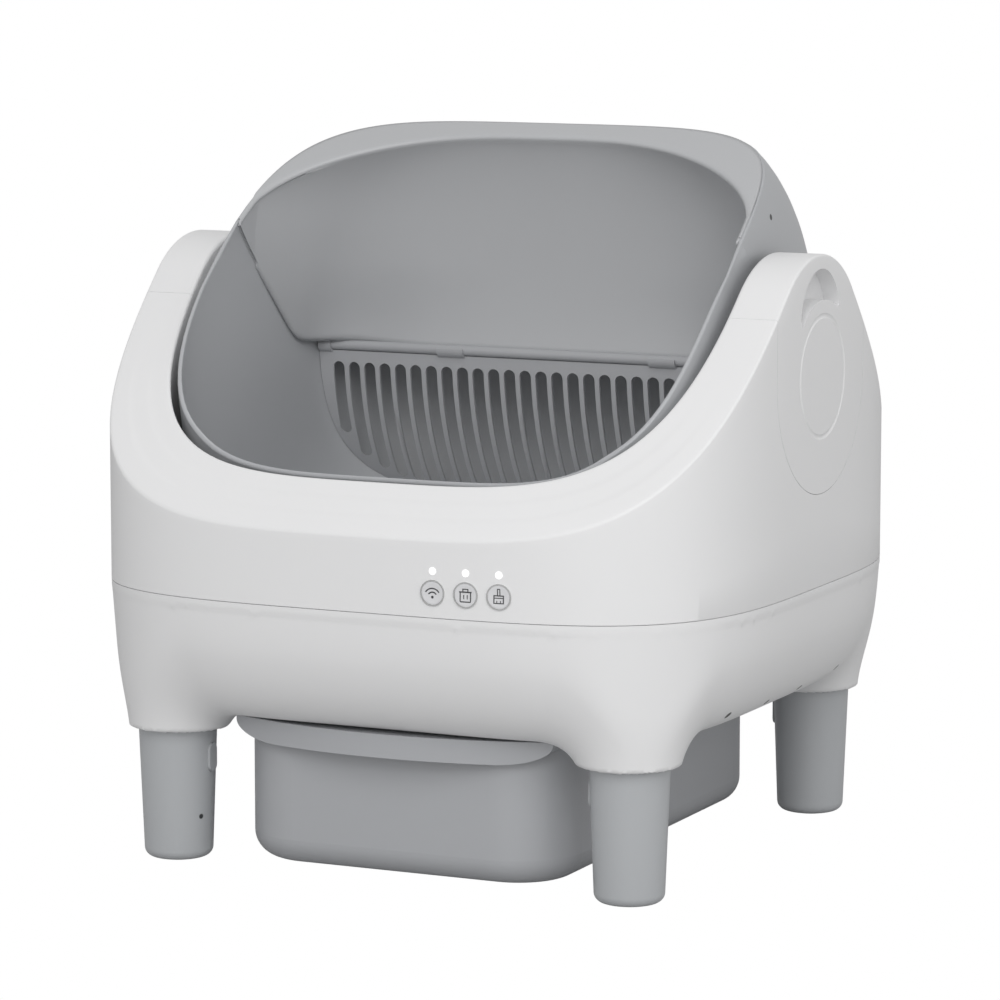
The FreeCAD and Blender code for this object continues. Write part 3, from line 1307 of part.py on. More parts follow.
def make_all():
    """Every piece by its name."""
    pieces = {
        "upper_housing": make_upper_housing(),
        "drum_well": make_drum_well(),
        "lower_housing": make_lower_housing(),
        "housing_screws": make_housing_screws(),
        "left_side_cap": make_side_cap(-1),
        "right_side_cap": make_side_cap(1),
        "waste_chute": make_chute(),
        "waste_drawer": make_waste_drawer(),
        "left_drawer_rail": make_drawer_rail(-1),
        "right_drawer_rail": make_drawer_rail(1),
        "drum_bowl": make_drum_bowl(),
        "drum_hood": make_drum_hood(),
        "hood_liner": make_hood_liner(),
        "sieve": make_sieve(),
        "sieve_hinge_bar": make_hinge_bar(),
        "left_trunnion": make_trunnion(-1),
        "right_trunnion": make_trunnion(1),
        "trunnion_screws": make_trunnion_screws(),
        "left_bearing": make_bearing(-1),
        "right_bearing": make_bearing(1),
        "drive_gear": make_drive_gear(),
        "drive_pinion": make_drive_pinion(),
        "gearbox": make_gearbox(),
        "drive_motor": make_drive_motor(),
        "motor_clamp": make_motor_clamp(),
        "home_sensor": make_home_sensor(),
        "home_magnet": make_home_magnet(),
        "network_button": make_panel_button(BUTTON_X[0]),
        "clean_button": make_panel_button(BUTTON_X[1]),
        "level_button": make_panel_button(BUTTON_X[2]),
        "button_rings": make_button_rings(),
        "status_lights": make_status_lights(),
        "panel_board": make_panel_board(),
        "panel_board_posts": make_panel_posts(),
        "main_board": make_main_board(),
        "main_board_posts": make_board_posts(),
        "power_socket": make_power_socket(),
        "load_cells": make_load_cells(),
    }
    for name, (x, y) in LEG_PLACES.items():
        pieces["leg_" + name] = make_leg(x, y)
        pieces["leg_button_" + name] = make_leg_button(x, y)
        pieces["foot_pad_" + name] = make_foot_pad(x, y)
    return pieces


def main():
    os.makedirs("parts", exist_ok=True)
    for name, shape in make_all().items():
        shape.exportStep("parts/" + name + ".step")
        b = shape.BoundBox
        print(f"{name:26s} solids {len(shape.Solids):2d} valid {shape.isValid()} volume {shape.Volume / 1000:9.2f} cm3"
              f"  x {b.XMin:7.1f} {b.XMax:7.1f}  y {b.YMin:7.1f} {b.YMax:7.1f}  z {b.ZMin:6.1f} {b.ZMax:6.1f}")


main()
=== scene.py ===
# %% [markdown]
# # A smart litter box, rebuilt from one photograph
#
# This lesson turns a imported CAD model into a studio picture. The CAD pieces give every size and every joint. Here
# they get their finishes, and the large soft shells are made again as smooth surfaces, because a slow moulded
# curve shows every facet of a tessellated solid.
#
# The first cell loads the CAD model as a frame. Later, each CAD body gets an empty that moves the pieces made for it.

# %% Load the frame
import json
import math

import bmesh
import bpy
import numpy as np
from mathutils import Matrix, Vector


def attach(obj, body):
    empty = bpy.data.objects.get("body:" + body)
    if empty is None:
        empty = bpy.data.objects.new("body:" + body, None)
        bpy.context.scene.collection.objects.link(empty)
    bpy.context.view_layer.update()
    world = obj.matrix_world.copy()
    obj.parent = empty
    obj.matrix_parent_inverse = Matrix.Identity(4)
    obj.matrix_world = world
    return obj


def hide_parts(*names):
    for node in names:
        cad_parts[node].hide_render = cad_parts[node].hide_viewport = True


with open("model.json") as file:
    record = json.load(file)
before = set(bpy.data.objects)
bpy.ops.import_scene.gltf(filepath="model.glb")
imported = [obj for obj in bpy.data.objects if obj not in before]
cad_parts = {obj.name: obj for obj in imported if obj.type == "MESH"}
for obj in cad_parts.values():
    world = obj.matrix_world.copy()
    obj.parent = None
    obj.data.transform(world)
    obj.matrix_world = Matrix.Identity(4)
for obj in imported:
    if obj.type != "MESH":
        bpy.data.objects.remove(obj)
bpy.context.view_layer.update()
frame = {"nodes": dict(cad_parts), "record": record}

NODES = frame["nodes"]
SCENE = bpy.context.scene
MM = 0.001

# %% [markdown]
# ## Shader sockets that add and multiply
#
# A procedural finish is a formula over places on the object. Linking every node by hand hides that formula, so a
# small class wraps a socket and lets the usual signs make the maths nodes. All other nodes go through one method.


# %% A wrapper for sockets
class Sock:
    """One output socket of a shader tree, with arithmetic: a + b, a - b, a * b, a / b and a smooth step."""

    def __init__(self, tree, socket):
        self.tree = tree
        self.socket = socket

    def node(self, kind, inputs=None, out=0, **props):
        """Adds a node of the given kind, sets its properties and inputs, and returns one of its outputs."""
        made = self.tree.nodes.new(kind)
        for key, value in props.items():
            setattr(made, key, value)
        for key, value in (inputs or {}).items():
            if isinstance(value, Sock):
                self.tree.links.new(value.socket, made.inputs[key])
            else:
                made.inputs[key].default_value = value
        return Sock(self.tree, made.outputs[out])

    def math(self, operation, *others):
        """A maths node of this socket and up to two more values."""
        return self.node("ShaderNodeMath", dict(enumerate((self,) + others)), operation=operation)

    def __add__(self, other):
        return self.math("ADD", other)

    __radd__ = __add__

    def __sub__(self, other):
        return self.math("SUBTRACT", other)

    def __rsub__(self, other):
        return self * -1.0 + other

    def __mul__(self, other):
        return self.math("MULTIPLY", other)

    __rmul__ = __mul__

    def __truediv__(self, other):
        return self.math("DIVIDE", other)

    def __rtruediv__(self, other):
        return self.math("POWER", -1.0) * other

    def __abs__(self):
        return self.math("ABSOLUTE")

    def length_with(self, *others):
        """Length of the vector made of this socket and the others."""
        total = self * self
        for other in others:
            total = total + other * other
        return total.math("SQRT")

    def step(self, low, high):
        """0 below low and 1 above high, with a smooth change between."""
        return self.node("ShaderNodeMapRange", {0: self, 1: low, 2: high}, interpolation_type="SMOOTHSTEP")

    def xyz(self):
        """The three parts of a vector."""
        split = self.node("ShaderNodeSeparateXYZ", {0: self}).socket.node
        return [Sock(self.tree, out) for out in split.outputs]


def new_material(name):
    """An empty node material: the material, its principled shader, and the object coordinate as a Sock."""
    made = bpy.data.materials.new(name)
    made.use_nodes = True
    tree = made.node_tree
    place = tree.nodes.new("ShaderNodeTexCoord")
    return made, tree.nodes["Principled BSDF"], Sock(tree, place.outputs["Object"])


def link(value, shader, name):
    """Joins a Sock to an input of the principled shader."""
    value.tree.links.new(value.socket, shader.inputs[name])


print("socket wrapper ready")

# %% [markdown]
# ## Moulded plastic
#
# Nearly every piece is injection-moulded plastic with a fine spark-eroded texture. One function makes it: a base
# colour that drifts by a percent or two over hand-sized areas, a fine grain in the normal, and a roughness that
# follows the grain. The drift keeps a large pale face from looking like flat paint. Small holes that the moulding has,
# too small to be worth a mesh, get painted shade: a near-black spot in the same finish, each a place and a radius.


# %% Plastic finish
def hole_shade_mask(where, shaded_holes):
    """Painted hole shade: 1 inside small holes and 0 outside; a hole is (x, y, z, radius) in millimetres, repeated on
    both sides.

    The distance is measured from the point (absolute x, y, z), so that a hole on the right has its twin on the left.
    """
    x, y, z = where.xyz()
    mask = None
    for sx, sy, sz, radius in shaded_holes:
        dx = abs(x) - sx * MM
        dy = y - sy * MM
        dz = z - sz * MM
        inside = 1.0 - dx.length_with(dy, dz).step((radius - 0.5) * MM, (radius + 0.3) * MM)
        mask = inside if mask is None else mask.math("MAXIMUM", inside)
    return mask


def plastic(name, colour, rough=0.45, grain=0.12, size=900.0, drift=0.025, coat=0.0, shaded_holes=()):
    """Matt or satin plastic.

    The tone is the colour times (1 - drift / 2 + drift times slow noise). The roughness is rough plus a tenth of
    the fine noise, and the bump's height is the fine noise, which repeats about size times in a metre.
    """
    made, shader, where = new_material(name)
    slow = where.node("ShaderNodeTexNoise", {"Vector": where, "Scale": 8.0, "Detail": 2.0})
    fine = where.node("ShaderNodeTexNoise", {"Vector": where, "Scale": size, "Detail": 1.0})
    tone = slow * drift + (1.0 - drift / 2)
    # painted shade: each small hole is darkened to near black in the tone instead of being modelled
    if shaded_holes:
        tone = tone * (1.0 - 0.93 * hole_shade_mask(where, shaded_holes))
    parts = {i: tone * colour[i] for i in range(3)}
    mixed = where.node("ShaderNodeCombineColor", parts)
    link(mixed, shader, "Base Color")
    link(fine * 0.1 + (rough - 0.05), shader, "Roughness")
    link(where.node("ShaderNodeBump", {"Strength": grain, "Distance": 0.0002, "Height": fine}), shader, "Normal")
    shader.inputs["Coat Weight"].default_value = coat
    shader.inputs["Coat Roughness"].default_value = 0.3
    return made


WHITE = (0.80, 0.80, 0.805)
GREY = (0.437, 0.446, 0.461)
# painted shade of small holes, as (x, y, z, radius) in millimetres on the right side
BELLY_HOLE_SHADE = [(260, y, 138 + 4 * (abs(y) > 60), 4.2) for y in (-122, -37, 37, 122)]
DRUM_HOLE_SHADE = [(232.9, 28, 535, 2.7)]
LEG_HOLE_SHADE = [(180.2, y, 38, 3.0) for y in (-210.0, 210.0)]
FINISH = {
    "white_shell": plastic("white shell", WHITE),
    "white_cap": plastic("white cap", WHITE),
    "belly_white": plastic("white belly", WHITE, shaded_holes=BELLY_HOLE_SHADE),
    "grey_drum": plastic("grey drum", GREY, rough=0.42),
    "grey_hood": plastic("grey hood", GREY, rough=0.42, shaded_holes=DRUM_HOLE_SHADE),
    "grey_liner": plastic("grey liner", (0.475, 0.482, 0.495), rough=0.36, coat=0.1),
    "grey_sieve": plastic("grey sieve", (0.43, 0.435, 0.45), rough=0.38),
    "grey_drawer": plastic("grey drawer", (0.425, 0.434, 0.452), rough=0.42),
    "grey_leg": plastic("grey leg", (0.455, 0.469, 0.484), rough=0.36, shaded_holes=LEG_HOLE_SHADE),
    "leg_button": plastic("leg button", (0.455, 0.469, 0.484), rough=0.33),
    "natural_plastic": plastic("natural plastic", (0.72, 0.72, 0.68), rough=0.38, size=300.0),
    "dark_plastic": plastic("dark plastic", (0.05, 0.05, 0.055), rough=0.5),
    "button_white": plastic("button white", (0.70, 0.70, 0.715), rough=0.33, coat=0.2),
    "lens": plastic("milky lens", (0.92, 0.92, 0.92), rough=0.22, grain=0.03),
}
glowing = FINISH["lens"].node_tree.nodes["Principled BSDF"]
glowing.inputs["Emission Color"].default_value = (1, 1, 1, 1)
glowing.inputs["Emission Strength"].default_value = 0.35
print("plastics:", len(FINISH))

# %% [markdown]
# ## Metal, rubber and circuit board
#
# The few other materials hide inside or under the box, but they show when a cap is lifted or a leg is drawn. Steel
# gets fine turning marks from a stretched noise, rubber gets a coarse bloom, and the boards get a green varnish with
# paler copper tracks under it.


# %% Other finishes
def steel(name, colour, rough):
    """Turned steel: noise stretched along one axis gives fine lines in the roughness and the normal."""
    made, shader, where = new_material(name)
    x, y, z = where.xyz()
    lines = where.node("ShaderNodeCombineXYZ", {0: x * 40.0, 1: y * 900.0, 2: z * 900.0})
    noise = where.node("ShaderNodeTexNoise", {"Vector": lines, "Scale": 1.0, "Detail": 2.0})
    parts = {i: noise * 0.06 + (colour - 0.03) for i in range(3)}
    link(where.node("ShaderNodeCombineColor", parts), shader, "Base Color")
    link(noise * 0.15 + (rough - 0.07), shader, "Roughness")
    link(where.node("ShaderNodeBump", {"Strength": 0.1, "Distance": 0.0002, "Height": noise}), shader, "Normal")
    shader.inputs["Metallic"].default_value = 1.0
    return made


def circuit_board(name):
    """Green varnish over tracks: tracks run where a brick pattern's mortar is, a tone lighter than the ground."""
    made, shader, where = new_material(name)
    x, _, z = where.xyz()
    flat = where.node("ShaderNodeCombineXYZ", {0: x, 1: z, 2: 0.0})
    tracks = where.node("ShaderNodeTexBrick", {"Vector": flat, "Scale": 120.0, "Mortar Size": 0.06}, out=1)
    parts = {0: tracks * 0.03 + 0.012, 1: tracks * 0.10 + 0.10, 2: tracks * 0.03 + 0.035}
    link(where.node("ShaderNodeCombineColor", parts), shader, "Base Color")
    link(tracks * 0.1 + 0.25, shader, "Roughness")
    return made


FINISH["steel"] = steel("plain steel", 0.55, 0.35)
FINISH["ring"] = steel("bright ring", 0.80, 0.16)
FINISH["magnet"] = steel("plated magnet", 0.66, 0.22)
FINISH["board"] = circuit_board("circuit board")
FINISH["foot"] = plastic("rubber", (0.03, 0.03, 0.032), rough=0.75, grain=0.3, size=500.0, drift=0.2)
for entry in frame["record"]["subparts"]:
    mesh = NODES[entry["node"]].data
    mesh.materials.clear()
    mesh.materials.append(FINISH[entry["material_slot"]])

# %% [markdown]
# ## Surfaces from arrays
#
# A moulded shell is a surface over two parameters, so it can be worked out as one array of points. The helper turns
# such a grid into faces without touching single vertices. A second helper makes the object, gives it its finish, and
# lets it ride on its CAD body in place of the CAD node.


# %% Grid helpers
def grid_faces(rows, columns, wrap_rows=False, wrap_columns=False, start=0):
    """Four-cornered faces of a grid whose vertex (i, j) has the index start + i * columns + j."""
    i = np.arange(rows if wrap_rows else rows - 1)[:, None]
    j = np.arange(columns if wrap_columns else columns - 1)[None, :]
    i1 = (i + 1) % rows
    j1 = (j + 1) % columns
    corners = [i * columns + j, i * columns + j1, i1 * columns + j1, i1 * columns + j]
    return start + np.stack([np.broadcast_to(c, (i.size, j.size)) for c in corners], -1).reshape(-1, 4)


def make_mesh(name, points, faces):
    """A smooth mesh from points in millimetres and faces, turned so that a closed mesh has its faces outward."""
    mesh = bpy.data.meshes.new(name)
    places = (np.asarray(points, float).reshape(-1, 3) * MM).tolist()
    mesh.from_pydata(places, [], faces.tolist() if isinstance(faces, np.ndarray) else faces)
    mesh.validate()
    mesh.polygons.foreach_set("use_smooth", np.ones(len(mesh.polygons), bool))
    work = bmesh.new()
    work.from_mesh(mesh)
    bmesh.ops.remove_doubles(work, verts=work.verts, dist=1e-6)
    if work.calc_volume(signed=True) < 0:
        bmesh.ops.reverse_faces(work, faces=work.faces)
    work.to_mesh(mesh)
    work.free()
    return mesh


def piece(name, mesh, finish, body, nodes=()):
    """Puts a mesh into the scene as a piece that rides on a CAD body in place of some CAD nodes."""
    made = bpy.data.objects.new(name.replace(" ", "_") + "_skin", mesh)
    SCENE.collection.objects.link(made)
    if finish:
        mesh.materials.clear()
        mesh.materials.append(FINISH[finish])
    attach(made, body)
    if nodes:
        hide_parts(*nodes)
    return made


SHARP = math.radians(33)


def cut_mesh(mesh, tool, operation):
    """The mesh after a boolean with a tool mesh: both are put into the scene for as long as it takes."""
    a = bpy.data.objects.new("work", mesh)
    b = bpy.data.objects.new("tool", tool)
    SCENE.collection.objects.link(a)
    SCENE.collection.objects.link(b)
    step = a.modifiers.new("boolean", "BOOLEAN")
    step.operation = operation
    step.solver = "EXACT"
    step.object = b
    done = bpy.data.meshes.new_from_object(a.evaluated_get(bpy.context.evaluated_depsgraph_get()))
    bpy.data.objects.remove(a)
    bpy.data.objects.remove(b)
    done.set_sharp_from_angle(angle=SHARP)
    return done


def prism(outline, x0, x1):
    """Closed solid: an outline of (y, z) points in the side view, drawn out from x0 to x1."""
    n = len(outline)
    near = np.column_stack([np.full(n, x0), outline])
    far = np.column_stack([np.full(n, x1), outline])
    sides = [[i, (i + 1) % n, n + (i + 1) % n, n + i] for i in range(n)]
    faces = sides + [list(range(n))[::-1], list(range(n, 2 * n))]
    return make_mesh("tool", np.vstack([near, far]), faces)


print("grid helpers ready")

# %% [markdown]
# ## The shape in numbers
#
# In plan the body is a superellipse: a rounded rectangle whose sides never go quite straight. Seen from the side,
# the top edge of the shell runs up the front at 42.5 degrees, over a round crest, and down to the rear, where a hollow
# arc brings it level. These are the same sizes as the CAD has, so both fit each other.


# %% Plan and roofline
BODY = (290.6, 279.9, 3.86)  # half width, half depth and exponent of the plan
MOUTH = (247.5, 235.5, 3.8)  # the opening, in the same way
SEAM_Z = 233.5
PIVOT_Z = 408.0
CREST_Y, SILL_Y = -7.0, -258.0


def plan_radius(turn, a, b, power):
    """Distance from the middle to the superellipse |x / a|^power + |y / b|^power = 1 in each direction."""
    return (np.abs(np.cos(turn) / a) ** power + np.abs(np.sin(turn) / b) ** power) ** (-1 / power)


def roof_z(y):
    """Height of the shell's top edge: straight up the front, an arc over the crest, straight down, an arc to level."""
    front, rear = np.radians(42.5), np.radians(45.5)
    crest_z, crest_r, flat_z, sweep = 406.0, 103.0, 340.0, 120.0
    y1, z1 = CREST_Y - crest_r * np.sin(front), crest_z + crest_r * np.cos(front)
    y2, z2 = CREST_Y + crest_r * np.sin(rear), crest_z + crest_r * np.cos(rear)
    corner = y2 + (z2 - flat_z) / np.tan(rear)
    y4 = corner + sweep * np.tan(rear / 2)
    y3 = y4 - sweep * np.sin(rear)
    crest = crest_z + np.sqrt(np.maximum(crest_r**2 - (y - CREST_Y) ** 2, 0))
    hollow = flat_z + sweep - np.sqrt(np.maximum(sweep**2 - (y - y4) ** 2, 0))
    return np.select(
        [y < y1, y < y2, y < y3, y < y4],
        [z1 + (y - y1) * np.tan(front), crest, z2 - (y - y2) * np.tan(rear), hollow],
        flat_z,
    )


def smooth_step(x, low, high):
    """0 below low and 1 above high, with level ends."""
    t = np.clip((x - low) / (high - low), 0, 1)
    return t * t * (3 - 2 * t)


crest_top, sill_top = roof_z(np.array([CREST_Y, SILL_Y]))
print("crest height:", round(float(crest_top), 1), "sill height:", round(float(sill_top), 1))

# %% [markdown]
# ## Upper housing
#
# The upper housing is one moulding: an outer wall and a broad top face that ends at the opening. The wall of the
# opening is a piece of its own underneath, the drum well. The cross-section of the housing is a closed loop, so going
# round the plan gives a closed grid. Both top edges get a small radius, because a crisp edge with no radius catches no
# light. On the sill in front of the opening the top face goes down in two shallow steps. The two side caps sit in
# U-shaped seats, which are cut with a boolean.


# %% Upper housing
SILL_STEP = 0.9
ROOF_WALL = 3.0 + 1.1  # upright measure of the 3 mm wall on the slope
MOUTH_WALL_GAP = 0.05


def ring_shell(turns, edge_out=2.2, edge_in=3.5, wall=3.0):
    """Closed grid of wall and top face: for each direction, a loop of (distance from the middle, height).

    The top face lies at share s between the outer wall and the opening; its height is the roofline at that place.
    Rounded edges lower it by r - sqrt(r^2 - (r - d)^2) at the distance d < r from the edge.
    """
    turn = np.linspace(0, 2 * np.pi, turns, endpoint=False)[:, None]
    outer = plan_radius(turn, *BODY)
    inner = plan_radius(turn, *MOUTH)
    width = outer - inner

    def top(d, drop=0.0):
        radius = outer - d
        z = roof_z(radius * np.sin(turn))
        near = np.clip(edge_out - d, 0, edge_out)
        far = np.clip(edge_in - (width - d), 0, edge_in)
        z = z - (edge_out - np.sqrt(np.maximum(edge_out**2 - near**2, 0)))
        z = z - (edge_in - np.sqrt(np.maximum(edge_in**2 - far**2, 0)))
        share = d / width
        sill = smooth_step(-radius * np.sin(turn), 120, 230)
        z = z - sill * SILL_STEP * (smooth_step(share, 0.28, 0.40) + smooth_step(share, 0.60, 0.72))
        return z - drop

    loop = []
    eaves = top(0 * outer)
    for share in (0.0, 0.004, 0.2, 0.4, 0.6, 0.8, 0.93, 1.0):
        chamfer = 0.35 if share == 0.0 else 0.0
        loop.append((outer - chamfer, SEAM_Z + (eaves - SEAM_Z) * share))
    for d in edge_out * (1 - np.cos(np.linspace(0.2, np.pi / 2, 6))):
        loop.append((outer - d, top(d + 0 * outer)))
    for share in np.linspace(0.08, 0.92, 24):
        d = edge_out + (width - edge_out - edge_in) * share
        loop.append((outer - d, top(d)))
    for back in edge_in * (1 - np.sin(np.linspace(0, np.pi / 2, 7))):
        loop.append((inner + back, top(width - back)))
    loop.append((inner + MOUTH_WALL_GAP, top(width)))
    loop.append((inner + MOUTH_WALL_GAP, top(width - MOUTH_WALL_GAP, ROOF_WALL - edge_in)))
    for share in (0.25, 0.5, 0.75):
        d = width - edge_in - (width - edge_in - wall) * share
        loop.append((outer - d, top(d, ROOF_WALL)))
    loop.append((outer - wall, top(wall + 0 * outer, ROOF_WALL)))
    loop.append((outer - wall, SEAM_Z + 0 * outer))
    r = np.concatenate([np.broadcast_to(a, (turns, 1)) for a, _ in loop], 1)
    z = np.concatenate([np.broadcast_to(b, (turns, 1)) for _, b in loop], 1)
    return np.stack([r * np.cos(turn), r * np.sin(turn), z], -1)


CAP_HALF = 97.0
CAP_GAP = 0.4
CAP_CUT = (236.0, 310.0)  # |x| between which the tools of caps and seats reach


def u_outline(half, top_z=560.0, steps=48):
    """Outline of a cap in the side view: a half circle below the pivot, straight sides up to top_z."""
    turn = np.linspace(np.pi, 2 * np.pi, steps)
    arc = np.column_stack([half * np.cos(turn), PIVOT_Z + half * np.sin(turn)])
    return np.vstack([[-half, top_z], arc, [half, top_z]])


shell_grid = ring_shell(640)
shell_mesh = make_mesh("shell", shell_grid, grid_faces(*shell_grid.shape[:2], wrap_rows=True, wrap_columns=True))
housing_mesh = shell_mesh
for side in (-1, 1):
    seat = prism(u_outline(CAP_HALF + CAP_GAP), side * CAP_CUT[0], side * CAP_CUT[1])
    housing_mesh = cut_mesh(housing_mesh, seat, "DIFFERENCE")
piece("upper housing", housing_mesh, "white_shell", "base", ["upper_housing"])
print("upper housing faces:", len(housing_mesh.polygons))

# %% [markdown]
# ## Side caps
#
# A cap is the part of the shell inside the U, so it is cut from the same mesh and keeps the same curve across the
# shut line. A crescent pocket near the top takes the fingertips: one disc less a larger disc round the pivot. A
# shallow ring below it marks the axis of the drum. The left cap is the right one, mirrored.


# %% Caps
GRIP_CENTRE = (-5.0, 453.0)
GRIP_RADIUS, GRIP_INNER_RADIUS = 44.0, 63.0
GRIP_WALL = 2.2
GRIP_LINING = (274.4, 289.5)  # |x| of the pocket's back and front
GRIP_HOLLOW = (276.6, 296.0)
RING_RADIUS, RING_TUBE, RING_OUT = 50.0, 3.0, 2.1


def crescent(outset, steps=40, tip=0.06):
    """Outline of the grip in the side view: inside the grip's disc, outside a larger disc round the pivot.

    Both arcs end near where the discs meet: the last share of each, tip, is left out, which blunts the points.
    outset lets the outline out all round.
    """
    disc = np.array(GRIP_CENTRE)
    pivot = np.array([0.0, PIVOT_Z])
    r, big = GRIP_RADIUS + outset, GRIP_INNER_RADIUS - outset
    gap = np.linalg.norm(disc - pivot)
    along = (gap**2 + big**2 - r**2) / (2 * gap)
    half = np.sqrt(big**2 - along**2)
    axis = (disc - pivot) / gap
    side_way = np.array([axis[1], -axis[0]])
    right = pivot + axis * along + side_way * half
    left = pivot + axis * along - side_way * half
    start = np.arctan2(*(right - disc)[::-1])
    stop = np.arctan2(*(left - disc)[::-1])
    outer = np.linspace(start, stop if stop > start else stop + 2 * np.pi, steps)
    a0 = np.arctan2(*(left - pivot)[::-1])
    a1 = np.arctan2(*(right - pivot)[::-1])
    inner = np.linspace(a0, a1, steps)
    outer_line = disc + r * np.column_stack([np.cos(outer), np.sin(outer)])
    inner_line = pivot + big * np.column_stack([np.cos(inner), np.sin(inner)])
    keep = slice(int(steps * tip), int(steps * (1 - tip)))
    return np.vstack([outer_line[keep], inner_line[keep]])


def ring_groove(x, radius, tube, steps=96, round_steps=16):
    """Torus round the pivot's axis that cuts a soft groove."""
    a = np.linspace(0, 2 * np.pi, steps, endpoint=False)[:, None]
    b = np.linspace(0, 2 * np.pi, round_steps, endpoint=False)[None, :]
    reach = radius + tube * np.cos(b)
    points = np.stack([x + tube * np.sin(b) + 0 * a, reach * np.cos(a), PIVOT_Z + reach * np.sin(a)], -1)
    return make_mesh("tool", points, grid_faces(steps, round_steps, True, True))


def cap_mesh(side):
    """The shell inside the U, with its grip pocket and ring."""
    cap = cut_mesh(shell_mesh, prism(u_outline(CAP_HALF), side * CAP_CUT[0], side * CAP_CUT[1]), "INTERSECT")
    lining = prism(crescent(GRIP_WALL), side * GRIP_LINING[0], side * GRIP_LINING[1])
    hollow = prism(crescent(0.0), side * GRIP_HOLLOW[0], side * GRIP_HOLLOW[1])
    cap = cut_mesh(cut_mesh(cap, lining, "UNION"), hollow, "DIFFERENCE")
    return cut_mesh(cap, ring_groove(side * (BODY[0] + RING_OUT), RING_RADIUS, RING_TUBE), "DIFFERENCE")


for side, word in ((-1, "left"), (1, "right")):
    mesh = cap_mesh(side)
    piece(word + " cap", mesh, "white_cap", word + "_cap", [word + "_side_cap"])
    print(word, "cap faces:", len(mesh.polygons))

# %% [markdown]
# ## Blended forms
#
# The belly runs into the four leg sockets without an edge, as if clay had been pressed round them. Such a form has
# no natural grid, but it is easy to say how far a place is from it: the smooth least of the distances to the belly
# and to the sockets. The surface is where that distance is 0. Surface nets find it: space is cut into small cubes,
# each cube that the surface crosses gets one point, and points of neighbouring cubes are joined to faces.


# %% Surface nets
def surface_net(field, low, high, step):
    """Points and faces of the surface where field is 0, inside the box from low to high.

    Each crossed cube gets the mean of the places where its twelve edges cross the surface, by straight-line
    interpolation. Each crossed grid edge gives one face between its four cubes. Three Newton steps
    p - f * grad f / |grad f|^2 then draw the points onto the surface.
    """
    axes = [np.arange(l, h + step * 0.5, step) for l, h in zip(low, high)]
    f = field(*np.meshgrid(*axes, indexing="ij"))
    size = np.array(f.shape)
    total = np.zeros(tuple(size - 1) + (3,))
    count = np.zeros(tuple(size - 1))
    spans = []
    for axis in range(3):
        others = [a for a in range(3) if a != axis]
        a = f.take(range(size[axis] - 1), axis)
        b = f.take(range(1, size[axis]), axis)
        crossed = (a < 0) != (b < 0)
        share = np.where(crossed, a / np.where(a == b, 1, a - b), 0)
        spans.append((axis, others, crossed, a < 0))
        for du in (0, 1):
            for dv in (0, 1):
                window = [slice(None)] * 3
                window[others[0]] = slice(du, size[others[0]] - 1 + du)
                window[others[1]] = slice(dv, size[others[1]] - 1 + dv)
                hit = crossed[tuple(window)]
                count += hit
                total[..., axis] += hit * share[tuple(window)]
                total[..., others[0]] += hit * du
                total[..., others[1]] += hit * dv
    used = count > 0
    index = np.full(used.shape, -1)
    index[used] = np.arange(used.sum())
    corner = np.stack(np.nonzero(used), -1)
    points = np.array(low) + step * (corner + total[used] / count[used][:, None])
    faces = []
    for axis, others, crossed, rising in spans:
        inner = [slice(None)] * 3
        inner[others[0]] = slice(1, -1)
        inner[others[1]] = slice(1, -1)
        where = np.stack(np.nonzero(crossed[tuple(inner)]), -1)
        where[:, others[0]] += 1
        where[:, others[1]] += 1
        square = []
        for du, dv in ((0, 0), (1, 0), (1, 1), (0, 1)):
            at = where.copy()
            at[:, others[0]] -= du
            at[:, others[1]] -= dv
            square.append(index[tuple(at.T)])
        square = np.stack(square, -1)
        flip = rising[tuple(where.T)] == (axis == 1)
        square[flip] = square[flip][:, ::-1]
        faces.append(square)
    for _ in range(3):
        value = field(*points.T)
        nudges = np.eye(3) * 0.1
        slope = np.stack([(field(*(points + d).T) - field(*(points - d).T)) / 0.2 for d in nudges], -1)
        move = value[:, None] * slope / np.maximum((slope**2).sum(-1), 0.05)[:, None]
        points -= np.clip(move, -step / 2, step / 2)
    return points, np.concatenate(faces)


def smooth_least(a, b, reach):
    """The lesser of two distances, rounded off where they differ by less than reach."""
    share = np.maximum(reach - np.abs(a - b), 0) / reach
    return np.minimum(a, b) - share * share * reach / 4


print("surface nets ready")

# %% [markdown]
# ## Lower housing
#
# The belly is a quarter ellipse from the seam to the flat floor. A leaning outer envelope trims the sockets, so that
# the corner runs straight from the seam to the socket's rim. The bores for the legs, the opening of the chute and
# the hollow round it are taken away with the greater of the distance and the negative of the hollow's distance.


# %% Lower housing
TUCK, TUCK_HEIGHT = 58.0, 104.5  # half axes of the belly's quarter ellipse
LEG_X, LEG_Y = 206.0, 199.3
SOCKET_RIM_Z = 112.0
SOCKET_RADIUS, SOCKET_SPREAD = 40.5, 0.09  # at the rim, and how much it grows for each millimetre up
SOCKET_LEAN = 8.5
BLEND, TRIM_BLEND = 34.0, 3.0
BORE_RADIUS, BORE_TOP_Z = 33.3, 185.0
CHUTE_FOOT_Z, CHUTE_HEIGHT = 131.0, 101.0
CHUTE_HALF, CHUTE_GROWTH = (137.0, 104.0), (107.5, 131.0)
CHUTE_POWER = 5.0


def plan_depth(x, y, a, b, power):
    """How deep a place lies inside a superellipse: (1 - g) / |grad g|, with g the superellipse's own measure."""
    u = np.abs(x) / a
    v = np.abs(y) / b
    g = np.maximum(u**power + v**power, 1e-9) ** (1 / power)
    slope = g ** (1 - power) * np.sqrt((u ** (power - 1) / a) ** 2 + (v ** (power - 1) / b) ** 2)
    return (1 - g) / np.maximum(slope, 1e-5)


